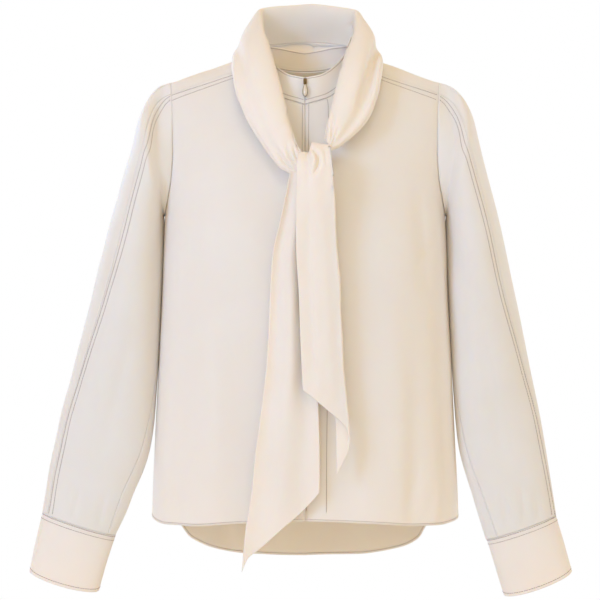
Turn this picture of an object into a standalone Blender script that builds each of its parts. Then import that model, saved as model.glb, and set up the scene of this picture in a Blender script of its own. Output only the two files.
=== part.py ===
"""Tie-neck blouse in silk crepe, filled out as if it were worn, in metres with +Z up.

The front faces -Y and the wearer's right side is at -X. The origin lies at the base of the
neck, between the shoulders, where a wearer holds the blouse up. Every piece of cloth is one
wall through a surface that a function gives, its outer skin on that surface and its
thickness inwards, so that neighbours keep an even gap along their seams.
"""

import math

import bmesh
import bpy
import numpy as np
from mathutils import Matrix, Vector

COLLECTION = "tie_neck_blouse"

# Walls and gaps
CLOTH = 0.0012
TURNED = 0.0020
TIE_CLOTH = 0.0022
SEAM_GAP = 0.0003
SLEEVE_SEAM_GAP = 0.0010
ZIP_SLIT = 0.0010

# Shoulder line: the height of its crest at a distance from the centre, its slope, how widely it
# rounds over at the centre, and the drop in which it fades out
CREST_HEIGHT = 0.007
CREST_HEIGHT_AT = 0.120
CREST_SLOPE = 0.358
CREST_ROUND = 0.050
CREST_FADE = 0.26

# Body
BODY_DROP = 0.640
SQUARENESS = 0.045
SQUARE_FROM_RUN = 0.3
SHOULDER_SEAM_BELOW = 0.0165
NECK_TURN = 27.7
ARM_TURN = 70.0
BACK_NECK_BELOW = 0.030


def table(columns, *rows):
    """A short table: the name of each column, then one row for each section or fold."""
    values = np.array(rows, float)
    return {name: values[:, i] for i, name in enumerate(columns.split())}


def read(rows, column, at):
    """The column's value at a place in the first column, on a smooth curve through the rows."""
    keys = next(iter(rows.values()))
    values = rows[column]
    at = min(max(at, keys[0]), keys[-1])
    k = int(min(max(np.searchsorted(keys, at) - 1, 0), len(keys) - 2))
    rises = np.diff(values) / np.diff(keys)

    def slope(i):
        if i in (0, len(keys) - 1):
            return rises[0] if i == 0 else rises[-1]
        before, after = rises[i - 1], rises[i]
        if before * after <= 0:
            return 0.0
        return 2 * before * after / (before + after)

    width = keys[k + 1] - keys[k]
    t = (at - keys[k]) / width
    h00 = (1 + 2 * t) * (1 - t) ** 2
    h10 = t * (1 - t) ** 2
    h01 = t * t * (3 - 2 * t)
    h11 = t * t * (t - 1)
    return (
        h00 * values[k] + h10 * width * slope(k)
        + h01 * values[k + 1] + h11 * width * slope(k + 1)
    )


def smooth_step(t):
    t = min(max(t, 0.0), 1.0)
    return t * t * (3 - 2 * t)


# Body sections by their distance below the shoulder line. "run" is the square root of that
# distance over the body's whole drop, so the cloth passes over the crest with no corner.
BODY = table(
    "run half_width front back",
    (0.000, 0.1880, 0.0000, 0.0000),
    (0.160, 0.1880, 0.0300, 0.0340),
    (0.265, 0.1880, 0.0500, 0.0560),
    (0.349, 0.1880, 0.0640, 0.0710),
    (0.433, 0.1875, 0.0800, 0.0850),
    (0.515, 0.1880, 0.0970, 0.0960),
    (0.600, 0.1905, 0.1120, 0.1010),
    (0.673, 0.1925, 0.1175, 0.1000),
    (0.791, 0.1975, 0.1170, 0.0980),
    (0.880, 0.2020, 0.1150, 0.1000),
    (0.970, 0.2060, 0.1130, 0.1030),
    (1.020, 0.2055, 0.1130, 0.1040),
)

# Where the cloth ends sideways: the armhole, then the side seam at a quarter turn.
ARMHOLE = table(
    "run front_turn back_turn",
    (0.000, 75.0, 75.0),
    (0.160, 71.5, 73.5),
    (0.280, 68.0, 71.0),
    (0.395, 67.0, 70.0),
    (0.468, 69.0, 71.5),
    (0.520, 75.5, 76.5),
    (0.545, 83.0, 83.5),
    (0.552, 90.0, 90.0),
)

# The front neckline from the centre to the shoulder seam.
NECKLINE = table(
    "turn below",
    (0.0, 0.0780),
    (9.1, 0.0680),
    (18.5, 0.0430),
    (27.7, 0.0165),
)

# Hems by how far round the side they are, as heights.
FRONT_HEM = table(
    "turn height",
    (0.0, -0.5985),
    (25.0, -0.6030),
    (45.0, -0.6080),
    (60.0, -0.6080),
    (75.0, -0.6040),
    (90.0, -0.6000),
)
BACK_HEM = table(
    "turn height",
    (0.0, -0.6660),
    (22.0, -0.6630),
    (38.0, -0.6530),
    (48.0, -0.6380),
    (54.0, -0.6180),
    (68.0, -0.6060),
    (90.0, -0.6010),
)

# Soft lengthways folds of the body: where each lies, its depth, its width, and the drop in
# which it grows.
BODY_FOLDS = table(
    "turn depth spread start full",
    (-52.0, 0.0045, 7.0, 0.30, 0.55),
    (-24.0, 0.0040, 8.0, 0.26, 0.60),
    (14.0, 0.0035, 6.0, 0.30, 0.60),
    (44.0, 0.0050, 6.0, 0.28, 0.60),
    (64.0, 0.0035, 6.0, 0.20, 0.50),
)
BACK_FOLDS = table(
    "turn depth spread start full",
    (-40.0, 0.0080, 8.0, 0.25, 0.64),
    (-9.0, 0.0070, 7.0, 0.25, 0.64),
    (24.0, 0.0075, 8.0, 0.25, 0.64),
    (52.0, 0.0050, 7.0, 0.25, 0.60),
)


def crest(x):
    return CREST_HEIGHT - CREST_SLOPE * (math.hypot(x, CREST_ROUND) - CREST_HEIGHT_AT)


def folds(rows, turn, below):
    """How far the cloth dips into the folds of one panel at a place on it."""
    dip = 0.0
    for i, middle in enumerate(rows["turn"]):
        grown = smooth_step((below - rows["start"][i]) / (rows["full"][i] - rows["start"][i]))
        dip += rows["depth"][i] * grown * math.exp(-(((turn - middle) / rows["spread"][i]) ** 2))
    return dip


def body(turn, run):
    """A point of the body: turn in degrees from the centre, run below 0 on the front."""
    far = abs(run)
    below = BODY_DROP * run * run
    angle = math.radians(turn)
    half = read(BODY, "half_width", far)
    depth = read(BODY, "front" if run < 0 else "back", far)
    square = 1 + SQUARENESS * math.sin(2 * angle) ** 2 * smooth_step(far / SQUARE_FROM_RUN)
    dip = folds(BODY_FOLDS if run < 0 else BACK_FOLDS, turn, below)
    x = (half * square - dip) * math.sin(angle)
    y = (depth * square - dip) * math.cos(angle)
    z = crest(x) * (1 - smooth_step(below / CREST_FADE)) - below
    return np.array((x, math.copysign(y, run), z))


def side_turn(run):
    """How far round the body's cloth reaches at this run, in degrees."""
    if abs(run) >= ARMHOLE["run"][-1]:
        return 90.0
    return read(ARMHOLE, "front_turn" if run < 0 else "back_turn", abs(run))


def run_at(below):
    return math.sqrt(below / BODY_DROP)


# Rows of a panel, from its top edge to its hem, as shares of the way. One row lies on the
# underarm, and a sleeve's columns start on the rows above it.
SEAM_RUN = -run_at(SHOULDER_SEAM_BELOW)
UNDERARM_RUN = ARMHOLE["run"][-1]
SIDE_HEM_RUN = run_at(0.600)
CENTRE_FRONT_LENGTH = 0.55
ARM_ROWS_FRONT = 7
ARM_ROWS_BACK = 11
SIDE_ROWS = 9
PANEL_WIDTH = 0.30
BACK_LENGTH = 0.70


def panel_rows(top_run, arm_rows):
    """Shares of the way from a panel's top to its hem, with a row on the underarm."""
    down = SIDE_HEM_RUN - top_run
    arm = (UNDERARM_RUN - top_run) / down
    upper = [arm * i / arm_rows for i in range(arm_rows)]
    lower = [arm + (1 - arm) * i / SIDE_ROWS for i in range(SIDE_ROWS + 1)]
    return upper + lower


FRONT_ROWS = panel_rows(-SEAM_RUN, ARM_ROWS_FRONT)
BACK_ROWS = panel_rows(SEAM_RUN, ARM_ROWS_BACK)

NECK_SHARE = NECK_TURN / ARM_TURN
NECK_COLUMNS = 5
SHOULDER_COLUMNS = 6
FRONT_NECK = [NECK_SHARE * i / NECK_COLUMNS for i in range(NECK_COLUMNS + 1)]
BACK_NECK = [
    NECK_SHARE * math.sin(math.pi / 2 * i / NECK_COLUMNS) for i in range(NECK_COLUMNS + 1)
]
SHOULDER = [
    NECK_SHARE + (1 - NECK_SHARE) * i / SHOULDER_COLUMNS for i in range(1, SHOULDER_COLUMNS + 1)
]


def front_top(share):
    """The run of the front's top edge: the neckline, then the shoulder seam."""
    if share >= NECK_SHARE:
        return SEAM_RUN
    return -run_at(read(NECKLINE, "below", share * ARM_TURN))


def back_top(share):
    """The run of the back's top edge: the shoulder seam in front, and the back of the neck."""
    low = run_at(BACK_NECK_BELOW)
    inside = min(share / NECK_SHARE, 1.0)
    return SEAM_RUN + (low - SEAM_RUN) * math.sqrt(1 - inside * inside)


def front_point(share, way):
    """A point of the front: share from the centre front to the side, way from its top edge to its hem."""
    top = front_top(abs(share))
    hem = -run_at(-read(FRONT_HEM, "height", abs(share) * 90))
    run = top + (hem - top) * way
    return body(share * side_turn(run), run)


def back_point(share, way):
    top = back_top(abs(share))
    hem = run_at(-read(BACK_HEM, "height", abs(share) * 90))
    run = top + (hem - top) * way
    return body(share * side_turn(run), run)


def unit(v):
    return v / max(np.linalg.norm(v), 1e-12)


def ends_moved(values, low_by, high_by, length):
    """The same shares with both ends moved inwards by a real distance, for a seam's gap."""
    moved = list(values)
    moved[0] += low_by / length
    moved[-1] -= high_by / length
    return moved


def material(name, colour, roughness, metallic=0.0):
    made = bpy.data.materials.new(name)
    made.use_nodes = True
    made.diffuse_color = (*colour, 1)
    shader = made.node_tree.nodes["Principled BSDF"]
    shader.inputs["Base Color"].default_value = (*colour, 1)
    shader.inputs["Roughness"].default_value = roughness
    shader.inputs["Metallic"].default_value = metallic
    return made


def finished(name, bm, made_of):
    """One closed body as an object of the blouse."""
    mesh = bpy.data.meshes.new(name)
    bm.to_mesh(mesh)
    bm.free()
    mesh.shade_smooth()
    mesh.set_sharp_from_angle(angle=math.radians(50))
    mesh.materials.append(made_of)
    obj = bpy.data.objects.new(name, mesh)
    bpy.data.collections[COLLECTION].objects.link(obj)
    return obj


def cloth(name, point, across, along, thickness, made_of, tube=False):
    """A wall of cloth: a flat slab of a grid whose two faces are laid on the surface and its inner side.

    point(u, v) gives the surface, with u rightwards across a piece seen from outside and v
    downwards. across and along are the places of the grid's columns and rows. A tube's first
    and last columns meet and are joined.
    """
    columns, rows = len(across) - 1, len(along) - 1
    bm = bmesh.new()
    bmesh.ops.create_grid(bm, x_segments=columns, y_segments=rows, size=0.5)
    made = bmesh.ops.extrude_face_region(bm, geom=bm.faces[:], use_keep_orig=True)
    second = [v for v in made["geom"] if isinstance(v, bmesh.types.BMVert)]
    bmesh.ops.translate(bm, vec=(0, 0, -1), verts=second)
    bmesh.ops.recalc_face_normals(bm, faces=bm.faces[:])
    if tube:
        ends = [f for f in bm.faces if abs(abs(f.calc_center_median().x) - 0.5) < 1e-4]
        bmesh.ops.delete(bm, geom=ends, context="FACES_ONLY")

    skins = {}
    step = 1e-4
    for vert in bm.verts:
        i = round((vert.co.x + 0.5) * columns)
        j = round((0.5 - vert.co.y) * rows)
        if (i, j) not in skins:
            u, v = across[i], along[j]
            over = point(u + step, v) - point(u - step, v)
            down = point(u, v + step) - point(u, v - step)
            skins[i, j] = point(u, v), unit(np.cross(over, down))
        place, inwards = skins[i, j]
        vert.co = place if vert.co.z > -0.5 else place + thickness * inwards
    if tube:
        bmesh.ops.remove_doubles(bm, verts=bm.verts[:], dist=1e-6)
    return finished(name, bm, made_of)


def make_body(silk):
    for side, word in ((-1, "right"), (1, "left")):
        shares = ends_moved(FRONT_NECK + SHOULDER, ZIP_SLIT / 2, SEAM_GAP / 2, PANEL_WIDTH)
        shares = sorted(side * share for share in shares)
        cloth(f"front_{word}", front_point, shares, FRONT_ROWS, CLOTH, silk)
    shares = [-s for s in reversed(SHOULDER)] + [-s for s in reversed(BACK_NECK[1:])]
    shares += BACK_NECK + SHOULDER
    shares = ends_moved(shares, SEAM_GAP / 2, SEAM_GAP / 2, PANEL_WIDTH)
    rows = list(BACK_ROWS)
    rows[0] += SEAM_GAP / BACK_LENGTH
    cloth("back", lambda u, v: back_point(-u, v), shares, rows, CLOTH, silk)


# The sleeves, by sections that slant with the arm. Each row gives its outer and inner side in
# the front view, half its depth, how far forward its middle lies, how much its front edge dips,
# and the places of the outer seam and the underarm seam in degrees from the outer side over the front.
SLEEVE_COLUMNS = "row outer_x outer_z inner_x inner_z depth forward dip seam under"
SLEEVES = {
    "right": table(
        SLEEVE_COLUMNS,
        (0, 0.2260, -0.0760, 0.1912, -0.2070, 0.0600, 0.000, 0.00, 60, 180),
        (1, 0.2620, -0.2050, 0.1917, -0.2400, 0.0610, 0.002, 0.00, 62, 180),
        (2, 0.2840, -0.2900, 0.1941, -0.3150, 0.0560, 0.005, 0.04, 54, 178),
        (3, 0.3075, -0.3850, 0.1991, -0.4150, 0.0450, 0.010, 0.08, 40, 166),
        (4, 0.3290, -0.4700, 0.2065, -0.5050, 0.0330, 0.018, 0.10, 32, 147),
        (5, 0.3435, -0.5450, 0.2305, -0.5720, 0.0270, 0.027, 0.12, 31, 139),
        (6, 0.3504, -0.5936, 0.2531, -0.6246, 0.0212, 0.033, 0.10, 31, 143),
    ),
    "left": table(
        SLEEVE_COLUMNS,
        (0, 0.2295, -0.0760, 0.1912, -0.2070, 0.0600, 0.000, 0.00, 60, 180),
        (1, 0.2620, -0.2050, 0.1917, -0.2400, 0.0610, 0.002, 0.00, 56, 180),
        (2, 0.2810, -0.2950, 0.1943, -0.3200, 0.0560, 0.005, 0.04, 50, 178),
        (3, 0.2995, -0.3850, 0.1991, -0.4150, 0.0450, 0.010, 0.08, 37, 166),
        (4, 0.3155, -0.4700, 0.2060, -0.5050, 0.0330, 0.018, 0.10, 23, 148),
        (5, 0.3280, -0.5430, 0.2245, -0.5750, 0.0270, 0.027, 0.12, 18, 139),
        (6, 0.3349, -0.5971, 0.2425, -0.6296, 0.0212, 0.033, 0.10, 13, 135),
    ),
}
SLEEVE_ROWS = [-1, -0.82, -0.6, -0.35, 0, 0.5, 1, 1.5, 2, 2.5, 3, 3.5, 4, 4.5, 5, 5.5, 6]
SLEEVE_WIDTH = 0.09
SLEEVE_ROW_LENGTH = 0.055
CAP_FULLNESS = 1.1
CAP_GAP = 1.3 * SEAM_GAP
CAP_STANDS = 2.5 * SEAM_GAP

CUFF_COLUMNS = "row outer_x outer_z inner_x inner_z depth forward dip"
CUFFS = {
    "right": table(
        CUFF_COLUMNS,
        (0, 0.3504, -0.5936, 0.2531, -0.6246, 0.0212, 0.033, 0.10),
        (1, 0.3595, -0.6350, 0.2650, -0.6630, 0.0215, 0.041, 0.24),
        (2, 0.3665, -0.6700, 0.2735, -0.6960, 0.0215, 0.048, 0.32),
    ),
    "left": table(
        CUFF_COLUMNS,
        (0, 0.3349, -0.5971, 0.2425, -0.6296, 0.0212, 0.033, 0.10),
        (1, 0.3460, -0.6360, 0.2545, -0.6690, 0.0215, 0.041, 0.24),
        (2, 0.3550, -0.6700, 0.2640, -0.7020, 0.0215, 0.048, 0.32),
    ),
}
CUFF_AROUND = 18
CUFF_HEIGHT = 0.073


def section(rows, row, degrees, side):
    """A point of a sleeve's or cuff's section, by its angle from the outer side over the front."""
    c, s = math.cos(math.radians(degrees)), math.sin(math.radians(degrees))
    outer = np.array((read(rows, "outer_x", row), read(rows, "outer_z", row)))
    inner = np.array((read(rows, "inner_x", row), read(rows, "inner_z", row)))
    x, z = (outer + inner) / 2 + (outer - inner) / 2 * c
    depth = read(rows, "depth", row)
    y = -read(rows, "forward", row) - depth * s
    return np.array((side * x, y, z - read(rows, "dip", row) * depth * s))


def armhole_start(side, front, share):
    """A sleeve's edge beside the armhole, and the direction in which the sleeve leaves it."""
    run = SEAM_RUN + ((-UNDERARM_RUN if front else UNDERARM_RUN) - SEAM_RUN) * share
    step = 1e-4

    def edge(at):
        return body(side * side_turn(at), at)

    turn = side_turn(run)
    here = edge(run)
    along = unit(edge(run + step) - edge(run - step)) * (-1 if front else 1)
    over = body(side * turn + 0.01, run) - body(side * turn - 0.01, run)
    down = body(side * turn, run + step) - body(side * turn, run - step)
    normal = unit(np.cross(over, down))
    away = unit(np.cross(along, normal)) * (-side if front else side)
    low = smooth_step((share - 0.70) / 0.30)
    start = here + CAP_GAP * away + CAP_STANDS * low * normal
    lift = smooth_step(share / 0.9)
    return start, unit((1 - lift) * away + lift * normal)


def sleeve_point(side, front, share, row):
    """share runs from the outer seam to the underarm seam, over the front or round the back."""
    rows = SLEEVES["right" if side < 0 else "left"]

    def at(place):
        seam = read(rows, "seam", place)
        under = read(rows, "under", place) - (0 if front else 360)
        return section(rows, place, seam + (under - seam) * share, side)

    if row >= 0:
        return at(row)
    start, leaves = armhole_start(side, front, min(max(share, 0.0), 1.0))
    cap = at(0)
    pull = CAP_FULLNESS * np.linalg.norm(cap - start)
    arrives = unit(at(0.02) - cap)
    t = row + 1
    return (
        (1 + 2 * t) * (1 - t) ** 2 * start + t * (1 - t) ** 2 * pull * leaves
        + t * t * (3 - 2 * t) * cap + t * t * (t - 1) * pull * arrives
    )


def make_sleeves(silk):
    for side, word in ((-1, "right"), (1, "left")):
        for front in (True, False):
            count = ARM_ROWS_FRONT if front else ARM_ROWS_BACK
            shares = [i / count for i in range(count + 1)]
            shares = ends_moved(shares, SLEEVE_SEAM_GAP / 2, SEAM_GAP / 2, SLEEVE_WIDTH)
            turned = (side < 0) != front

            def point(u, v, side=side, front=front, turned=turned):
                return sleeve_point(side, front, 1 - u if turned else u, v)

            if turned:
                shares = [1 - share for share in reversed(shares)]
            rows = list(SLEEVE_ROWS)
            rows[-1] -= SEAM_GAP / 2 / SLEEVE_ROW_LENGTH
            cloth(f"sleeve_{word}_{'front' if front else 'back'}", point, shares, rows, CLOTH, silk)

        def ring(u, v, side=side, word=word):
            return section(CUFFS[word], v, -side * 360 * u, side)

        around = [i / CUFF_AROUND for i in range(CUFF_AROUND + 1)]
        cloth(
            f"cuff_{word}", ring, around, [SEAM_GAP / CUFF_HEIGHT, 1, 2], TURNED, silk, tube=True
        )


# The stand collar's top edge by how far round the neck it is from the centre front.
COLLAR_HALF_WIDTH = 0.060
COLLAR_FRONT = 0.058
COLLAR_BACK = 0.050
COLLAR_SIDE = 80
COLLAR_RISE = 0.034
COLLAR_HALF_LENGTH = 0.180
COLLAR_LEAN = 0.3
COLLAR_GAP = 1.5 * SEAM_GAP
COLLAR_TOP = table(
    "around height",
    (0, -0.0155),
    (20, -0.0110),
    (42, 0.0025),
    (65, 0.0210),
    (90, 0.0340),
    (130, 0.0350),
    (180, 0.0285),
)


def neck_edge(share):
    """The neck hole's edge: share runs from -1 at the centre front, round the back, to 1."""
    side, far = math.copysign(1, share), abs(share)
    if far >= 0.5:
        return front_point(side * NECK_SHARE * (1 - far) / 0.5, 0)
    return back_point(side * NECK_SHARE * math.sin(math.pi * far), 0)


def collar_top(share):
    far = abs(share)
    if far >= 0.5:
        around = COLLAR_SIDE * (1 - far) / 0.5
    else:
        around = COLLAR_SIDE + (180 - COLLAR_SIDE) * (0.5 - far) / 0.5
    angle = math.radians(around)
    deep = COLLAR_FRONT if around < 90 else COLLAR_BACK
    x = math.copysign(COLLAR_HALF_WIDTH * math.sin(angle), share)
    return np.array((x, -deep * math.cos(angle), read(COLLAR_TOP, "height", around)))


def collar_point(share, up):
    """The collar from its seam, up 0, to its top edge, up 1, leaning in more at its foot."""
    foot, top = neck_edge(share), collar_top(share)
    foot = foot + COLLAR_GAP * unit(top - foot)
    lean = up * (1 + COLLAR_LEAN * (1 - up))
    return np.array((
        foot[0] + (top[0] - foot[0]) * lean,
        foot[1] + (top[1] - foot[1]) * lean,
        foot[2] + (top[2] - foot[2]) * up,
    ))


def make_collar(silk):
    fronts = [0.5 + 0.5 * i / NECK_COLUMNS for i in range(NECK_COLUMNS + 1)]
    backs = [0.5 * i / NECK_COLUMNS for i in range(NECK_COLUMNS)]
    half = backs + fronts
    shares = [-s for s in reversed(half[1:])] + half
    shares = ends_moved(shares, ZIP_SLIT / 2, ZIP_SLIT / 2, COLLAR_HALF_LENGTH)
    ups = [0, 1 / 3, 2 / 3, 1]
    cloth("collar", lambda u, v: collar_point(-u, 1 - v), shares, ups, CLOTH, silk)


# The scarf round the neck, from the knot up the wearer's right, behind the neck and down the
# left. Each row gives the two edges that show, how far the roll of cloth stands out between
# them, how far round the roll its edges tuck, and how deep a groove runs along it.
SCARF = table(
    "way upper_x upper_y upper_z lower_x lower_y lower_z bulge tuck groove",
    (0, 0.0000, -0.1210, -0.1220, -0.0060, -0.1190, -0.1400, 0.0050, 80, 0.0000),
    (1, -0.0125, -0.1150, -0.1070, -0.0285, -0.1120, -0.1440, 0.0080, 90, 0.0015),
    (2, -0.0200, -0.1020, -0.0820, -0.0580, -0.0980, -0.1060, 0.0120, 105, 0.0025),
    (3, -0.0270, -0.0860, -0.0480, -0.0810, -0.0850, -0.0640, 0.0140, 108, 0.0030),
    (4, -0.0380, -0.0680, -0.0050, -0.0950, -0.0620, -0.0225, 0.0150, 108, 0.0035),
    (5, -0.0480, -0.0420, 0.0300, -0.0970, -0.0300, 0.0055, 0.0140, 108, 0.0030),
    (6, -0.0580, -0.0060, 0.0640, -0.0930, 0.0060, 0.0157, 0.0120, 108, 0.0020),
    (7, -0.0600, 0.0340, 0.0860, -0.0770, 0.0500, 0.0244, 0.0100, 108, 0.0010),
    (8, 0.0040, 0.0600, 0.0960, 0.0040, 0.0760, 0.0340, 0.0080, 108, 0.0000),
    (9, 0.0700, 0.0340, 0.0840, 0.0840, 0.0500, 0.0235, 0.0100, 108, 0.0010),
    (10, 0.0700, -0.0050, 0.0620, 0.0970, 0.0060, 0.0151, 0.0130, 105, 0.0040),
    (11, 0.0570, -0.0420, 0.0250, 0.1030, -0.0330, 0.0010, 0.0160, 102, 0.0060),
    (12, 0.0470, -0.0680, -0.0080, 0.0990, -0.0630, -0.0291, 0.0160, 104, 0.0060),
    (13, 0.0370, -0.0880, -0.0480, 0.0860, -0.0850, -0.0680, 0.0140, 106, 0.0050),
    (14, 0.0289, -0.1030, -0.0840, 0.0579, -0.1010, -0.1010, 0.0100, 100, 0.0030),
    (15, 0.0264, -0.1135, -0.1040, 0.0329, -0.1130, -0.1180, 0.0050, 80, 0.0010),
)
SCARF_ROLL_COLUMNS = 9
SCARF_SPLITS = (6.4, 9.6)
SCARF_ROW_LENGTH = 0.040
SCARF_GAP_IN_ROWS = SEAM_GAP / 2 / SCARF_ROW_LENGTH
GROOVE_AT = 0.45
GROOVE_SPREAD = 0.22


def scarf_edges(way):
    ends = []
    for edge in ("upper", "lower"):
        ends.append(np.array([read(SCARF, f"{edge}_{axis}", way) for axis in "xyz"]))
    return ends


def scarf_point(across, way):
    """across runs from -1 at the upper edge to 1 at the lower edge, over the roll's outer side."""
    upper, lower = scarf_edges(way)
    before, after = scarf_edges(way - 0.02), scarf_edges(way + 0.02)
    tangent = sum(after) / 2 - sum(before) / 2
    out = unit(np.cross(upper - lower, tangent))
    angle = math.radians(read(SCARF, "tuck", way)) * across
    groove = read(SCARF, "groove", way)
    dent = groove * math.exp(-(((across - GROOVE_AT) / GROOVE_SPREAD) ** 2))
    middle = (upper + lower) / 2
    stand = read(SCARF, "bulge", way) * math.cos(angle) - dent
    return middle + (lower - upper) / 2 * math.sin(angle) + out * stand


def make_scarf(silk):
    across = [-1 + 2 * i / SCARF_ROLL_COLUMNS for i in range(SCARF_ROLL_COLUMNS + 1)]
    first, second = SCARF_SPLITS
    stretches = (
        ("tie_band_right", 0, first - SCARF_GAP_IN_ROWS, 15),
        ("tie_band_back", first + SCARF_GAP_IN_ROWS, second - SCARF_GAP_IN_ROWS, 8),
        ("tie_band_left", second + SCARF_GAP_IN_ROWS, 15, 14),
    )
    for name, start, end, count in stretches:
        ways = [-end + (end - start) * i / count for i in range(count + 1)]
        cloth(name, lambda u, v: scarf_point(v, -u), ways, across, TIE_CLOTH, silk)


# The knot's wrap comes up behind, over the bands and down in front, and runs on into the top
# tail. Each row gives the middle of the strip, half its width and how far it bows forwards.
WRAP = table(
    "way x y z half bow groove",
    (0, 0.0140, -0.0971, -0.1600, 0.0170, 0.0020, 0.0000),
    (1, 0.0130, -0.0987, -0.1360, 0.0180, 0.0030, 0.0000),
    (2, 0.0125, -0.1100, -0.1130, 0.0180, 0.0040, 0.0025),
    (3, 0.0115, -0.1280, -0.1090, 0.0195, 0.0040, 0.0040),
    (4, 0.0110, -0.1425, -0.1250, 0.0215, 0.0035, 0.0035),
    (5, 0.0125, -0.1470, -0.1540, 0.0235, 0.0030, 0.0015),
    (6, 0.0133, -0.1470, -0.1820, 0.0250, 0.0030, 0.0000),
    (7, 0.0146, -0.1455, -0.2400, 0.0264, 0.0035, 0.0000),
    (8, 0.0187, -0.1440, -0.2980, 0.0272, 0.0040, 0.0000),
    (9, 0.0212, -0.1430, -0.3720, 0.0270, 0.0040, 0.0000),
    (10, 0.0240, -0.1425, -0.4270, 0.0272, 0.0040, 0.0000),
    (11, 0.0270, -0.1420, -0.4800, 0.0280, 0.0035, 0.0000),
    (12, 0.0280, -0.1420, -0.5400, 0.0280, 0.0035, 0.0000),
)
WRAP_GROOVE_AT = 0.15
WRAP_GROOVE_SPREAD = 0.25
TOP_TAIL_START = 5.0
TOP_TAIL_ROW_LENGTH = 0.027
TOP_TAIL_TURN_UP = 0.6
TOP_TAIL_FOLD = 0.0035
TOP_TAIL_RETURN = 0.0150
TOP_TAIL_SLANT = 0.002
TOP_TAIL_BEND_SHARE = 0.4
TOP_TAIL_END = table(
    "across height",
    (-1.00, -0.4265),
    (-0.37, -0.4405),
    (0.15, -0.4535),
    (0.57, -0.4640),
    (0.93, -0.4760),
    (1.08, -0.4900),
    (1.25, -0.5080),
    (1.60, -0.5370),
)
UNDER_TAIL = table(
    "way x y z half waves",
    (0, -0.0050, -0.1340, -0.1440, 0.0140, 0.0050),
    (1, -0.0100, -0.1312, -0.2070, 0.0215, 0.0055),
    (2, -0.0155, -0.1310, -0.2590, 0.0270, 0.0050),
    (3, -0.0165, -0.1335, -0.3710, 0.0315, 0.0040),
    (4, -0.0195, -0.1330, -0.4440, 0.0360, 0.0035),
    (5, -0.0230, -0.1315, -0.5116, 0.0415, 0.0030),
    (6, -0.0255, -0.1300, -0.5600, 0.0440, 0.0025),
    (7, -0.0305, -0.1290, -0.6120, 0.0470, 0.0020),
    (8, -0.0340, -0.1280, -0.6640, 0.0480, 0.0020),
)
UNDER_TAIL_END = table(
    "across height",
    (-1.00, -0.6634),
    (-0.87, -0.6460),
    (-0.60, -0.6350),
    (-0.10, -0.6120),
    (0.50, -0.5860),
    (1.00, -0.5600),
)


def strip_frame(rows, way):
    """The middle of a hanging strip and the direction that its outer side faces."""
    middle = np.array([read(rows, axis, way) for axis in "xyz"])
    ahead = np.array([read(rows, axis, way + 0.02) for axis in "xyz"])
    behind = np.array([read(rows, axis, way - 0.02) for axis in "xyz"])
    out = unit(np.cross(unit(ahead - behind), (-1, 0, 0)))
    return middle, out


def wrap_point(across, way):
    middle, out = strip_frame(WRAP, way)
    half = read(WRAP, "half", way)
    off = (across - WRAP_GROOVE_AT) / WRAP_GROOVE_SPREAD
    groove = read(WRAP, "groove", way) * math.exp(-(off**2))
    bow = read(WRAP, "bow", way) * math.cos(across * math.pi / 2) - groove
    return middle + np.array((half * across, 0, 0)) + out * bow


def top_tail_point(across, way):
    """The top tail, whose right edge turns back behind it past across 1."""
    if across <= 1:
        return wrap_point(across, way)
    edge = wrap_point(1, way)
    _, out = strip_frame(WRAP, way)
    past = (across - 1) / TOP_TAIL_TURN_UP
    bend = min(past / TOP_TAIL_BEND_SHARE, 1.0) * math.pi
    flat = max(past - TOP_TAIL_BEND_SHARE, 0.0) / (1 - TOP_TAIL_BEND_SHARE)
    x = TOP_TAIL_FOLD * math.sin(bend) - TOP_TAIL_RETURN * flat
    back = TOP_TAIL_FOLD * (1 - math.cos(bend)) + TOP_TAIL_SLANT * flat
    return edge + np.array((x, 0, 0)) - out * back


def under_tail_point(across, way):
    middle, out = strip_frame(UNDER_TAIL, way)
    waves = read(UNDER_TAIL, "waves", way)
    half = read(UNDER_TAIL, "half", way)
    stand = waves * math.cos(across * 1.6 * math.pi + 0.4) - 0.3 * waves
    return middle + np.array((half * across, 0, 0)) + out * stand


def cut_way(rows, height, start):
    """The way along a strip at which it reaches this height."""
    low, high = start, rows["way"][-1]
    for _ in range(40):
        middle = (low + high) / 2
        if read(rows, "z", middle) > height:
            low = middle
        else:
            high = middle
    return low


def make_tails(silk):
    across = [-1 + 2 * i / 8 for i in range(9)]
    ways = [TOP_TAIL_START * i / 9 for i in range(10)]
    cloth("tie_knot", wrap_point, across, ways, TIE_CLOTH, silk)

    turned = [1 + TOP_TAIL_TURN_UP * part for part in (0.13, 0.27, 0.4, 0.7, 1.0)]
    start = TOP_TAIL_START + SEAM_GAP / TOP_TAIL_ROW_LENGTH

    def top(u, v):
        end = cut_way(WRAP, read(TOP_TAIL_END, "height", u), start)
        return top_tail_point(u, start + (end - start) * v)

    across = [-1 + 2 * i / 7 for i in range(8)] + turned
    downs = [i / 14 for i in range(15)]
    cloth("tie_tail_top", top, across, downs, TIE_CLOTH, silk)

    def under(u, v):
        end = cut_way(UNDER_TAIL, read(UNDER_TAIL_END, "height", u), 0)
        return under_tail_point(u, end * v)

    across = [-1 + 2 * i / 10 for i in range(11)]
    cloth("tie_tail_under", under, across, [i / 15 for i in range(16)], TIE_CLOTH, silk)


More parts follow.
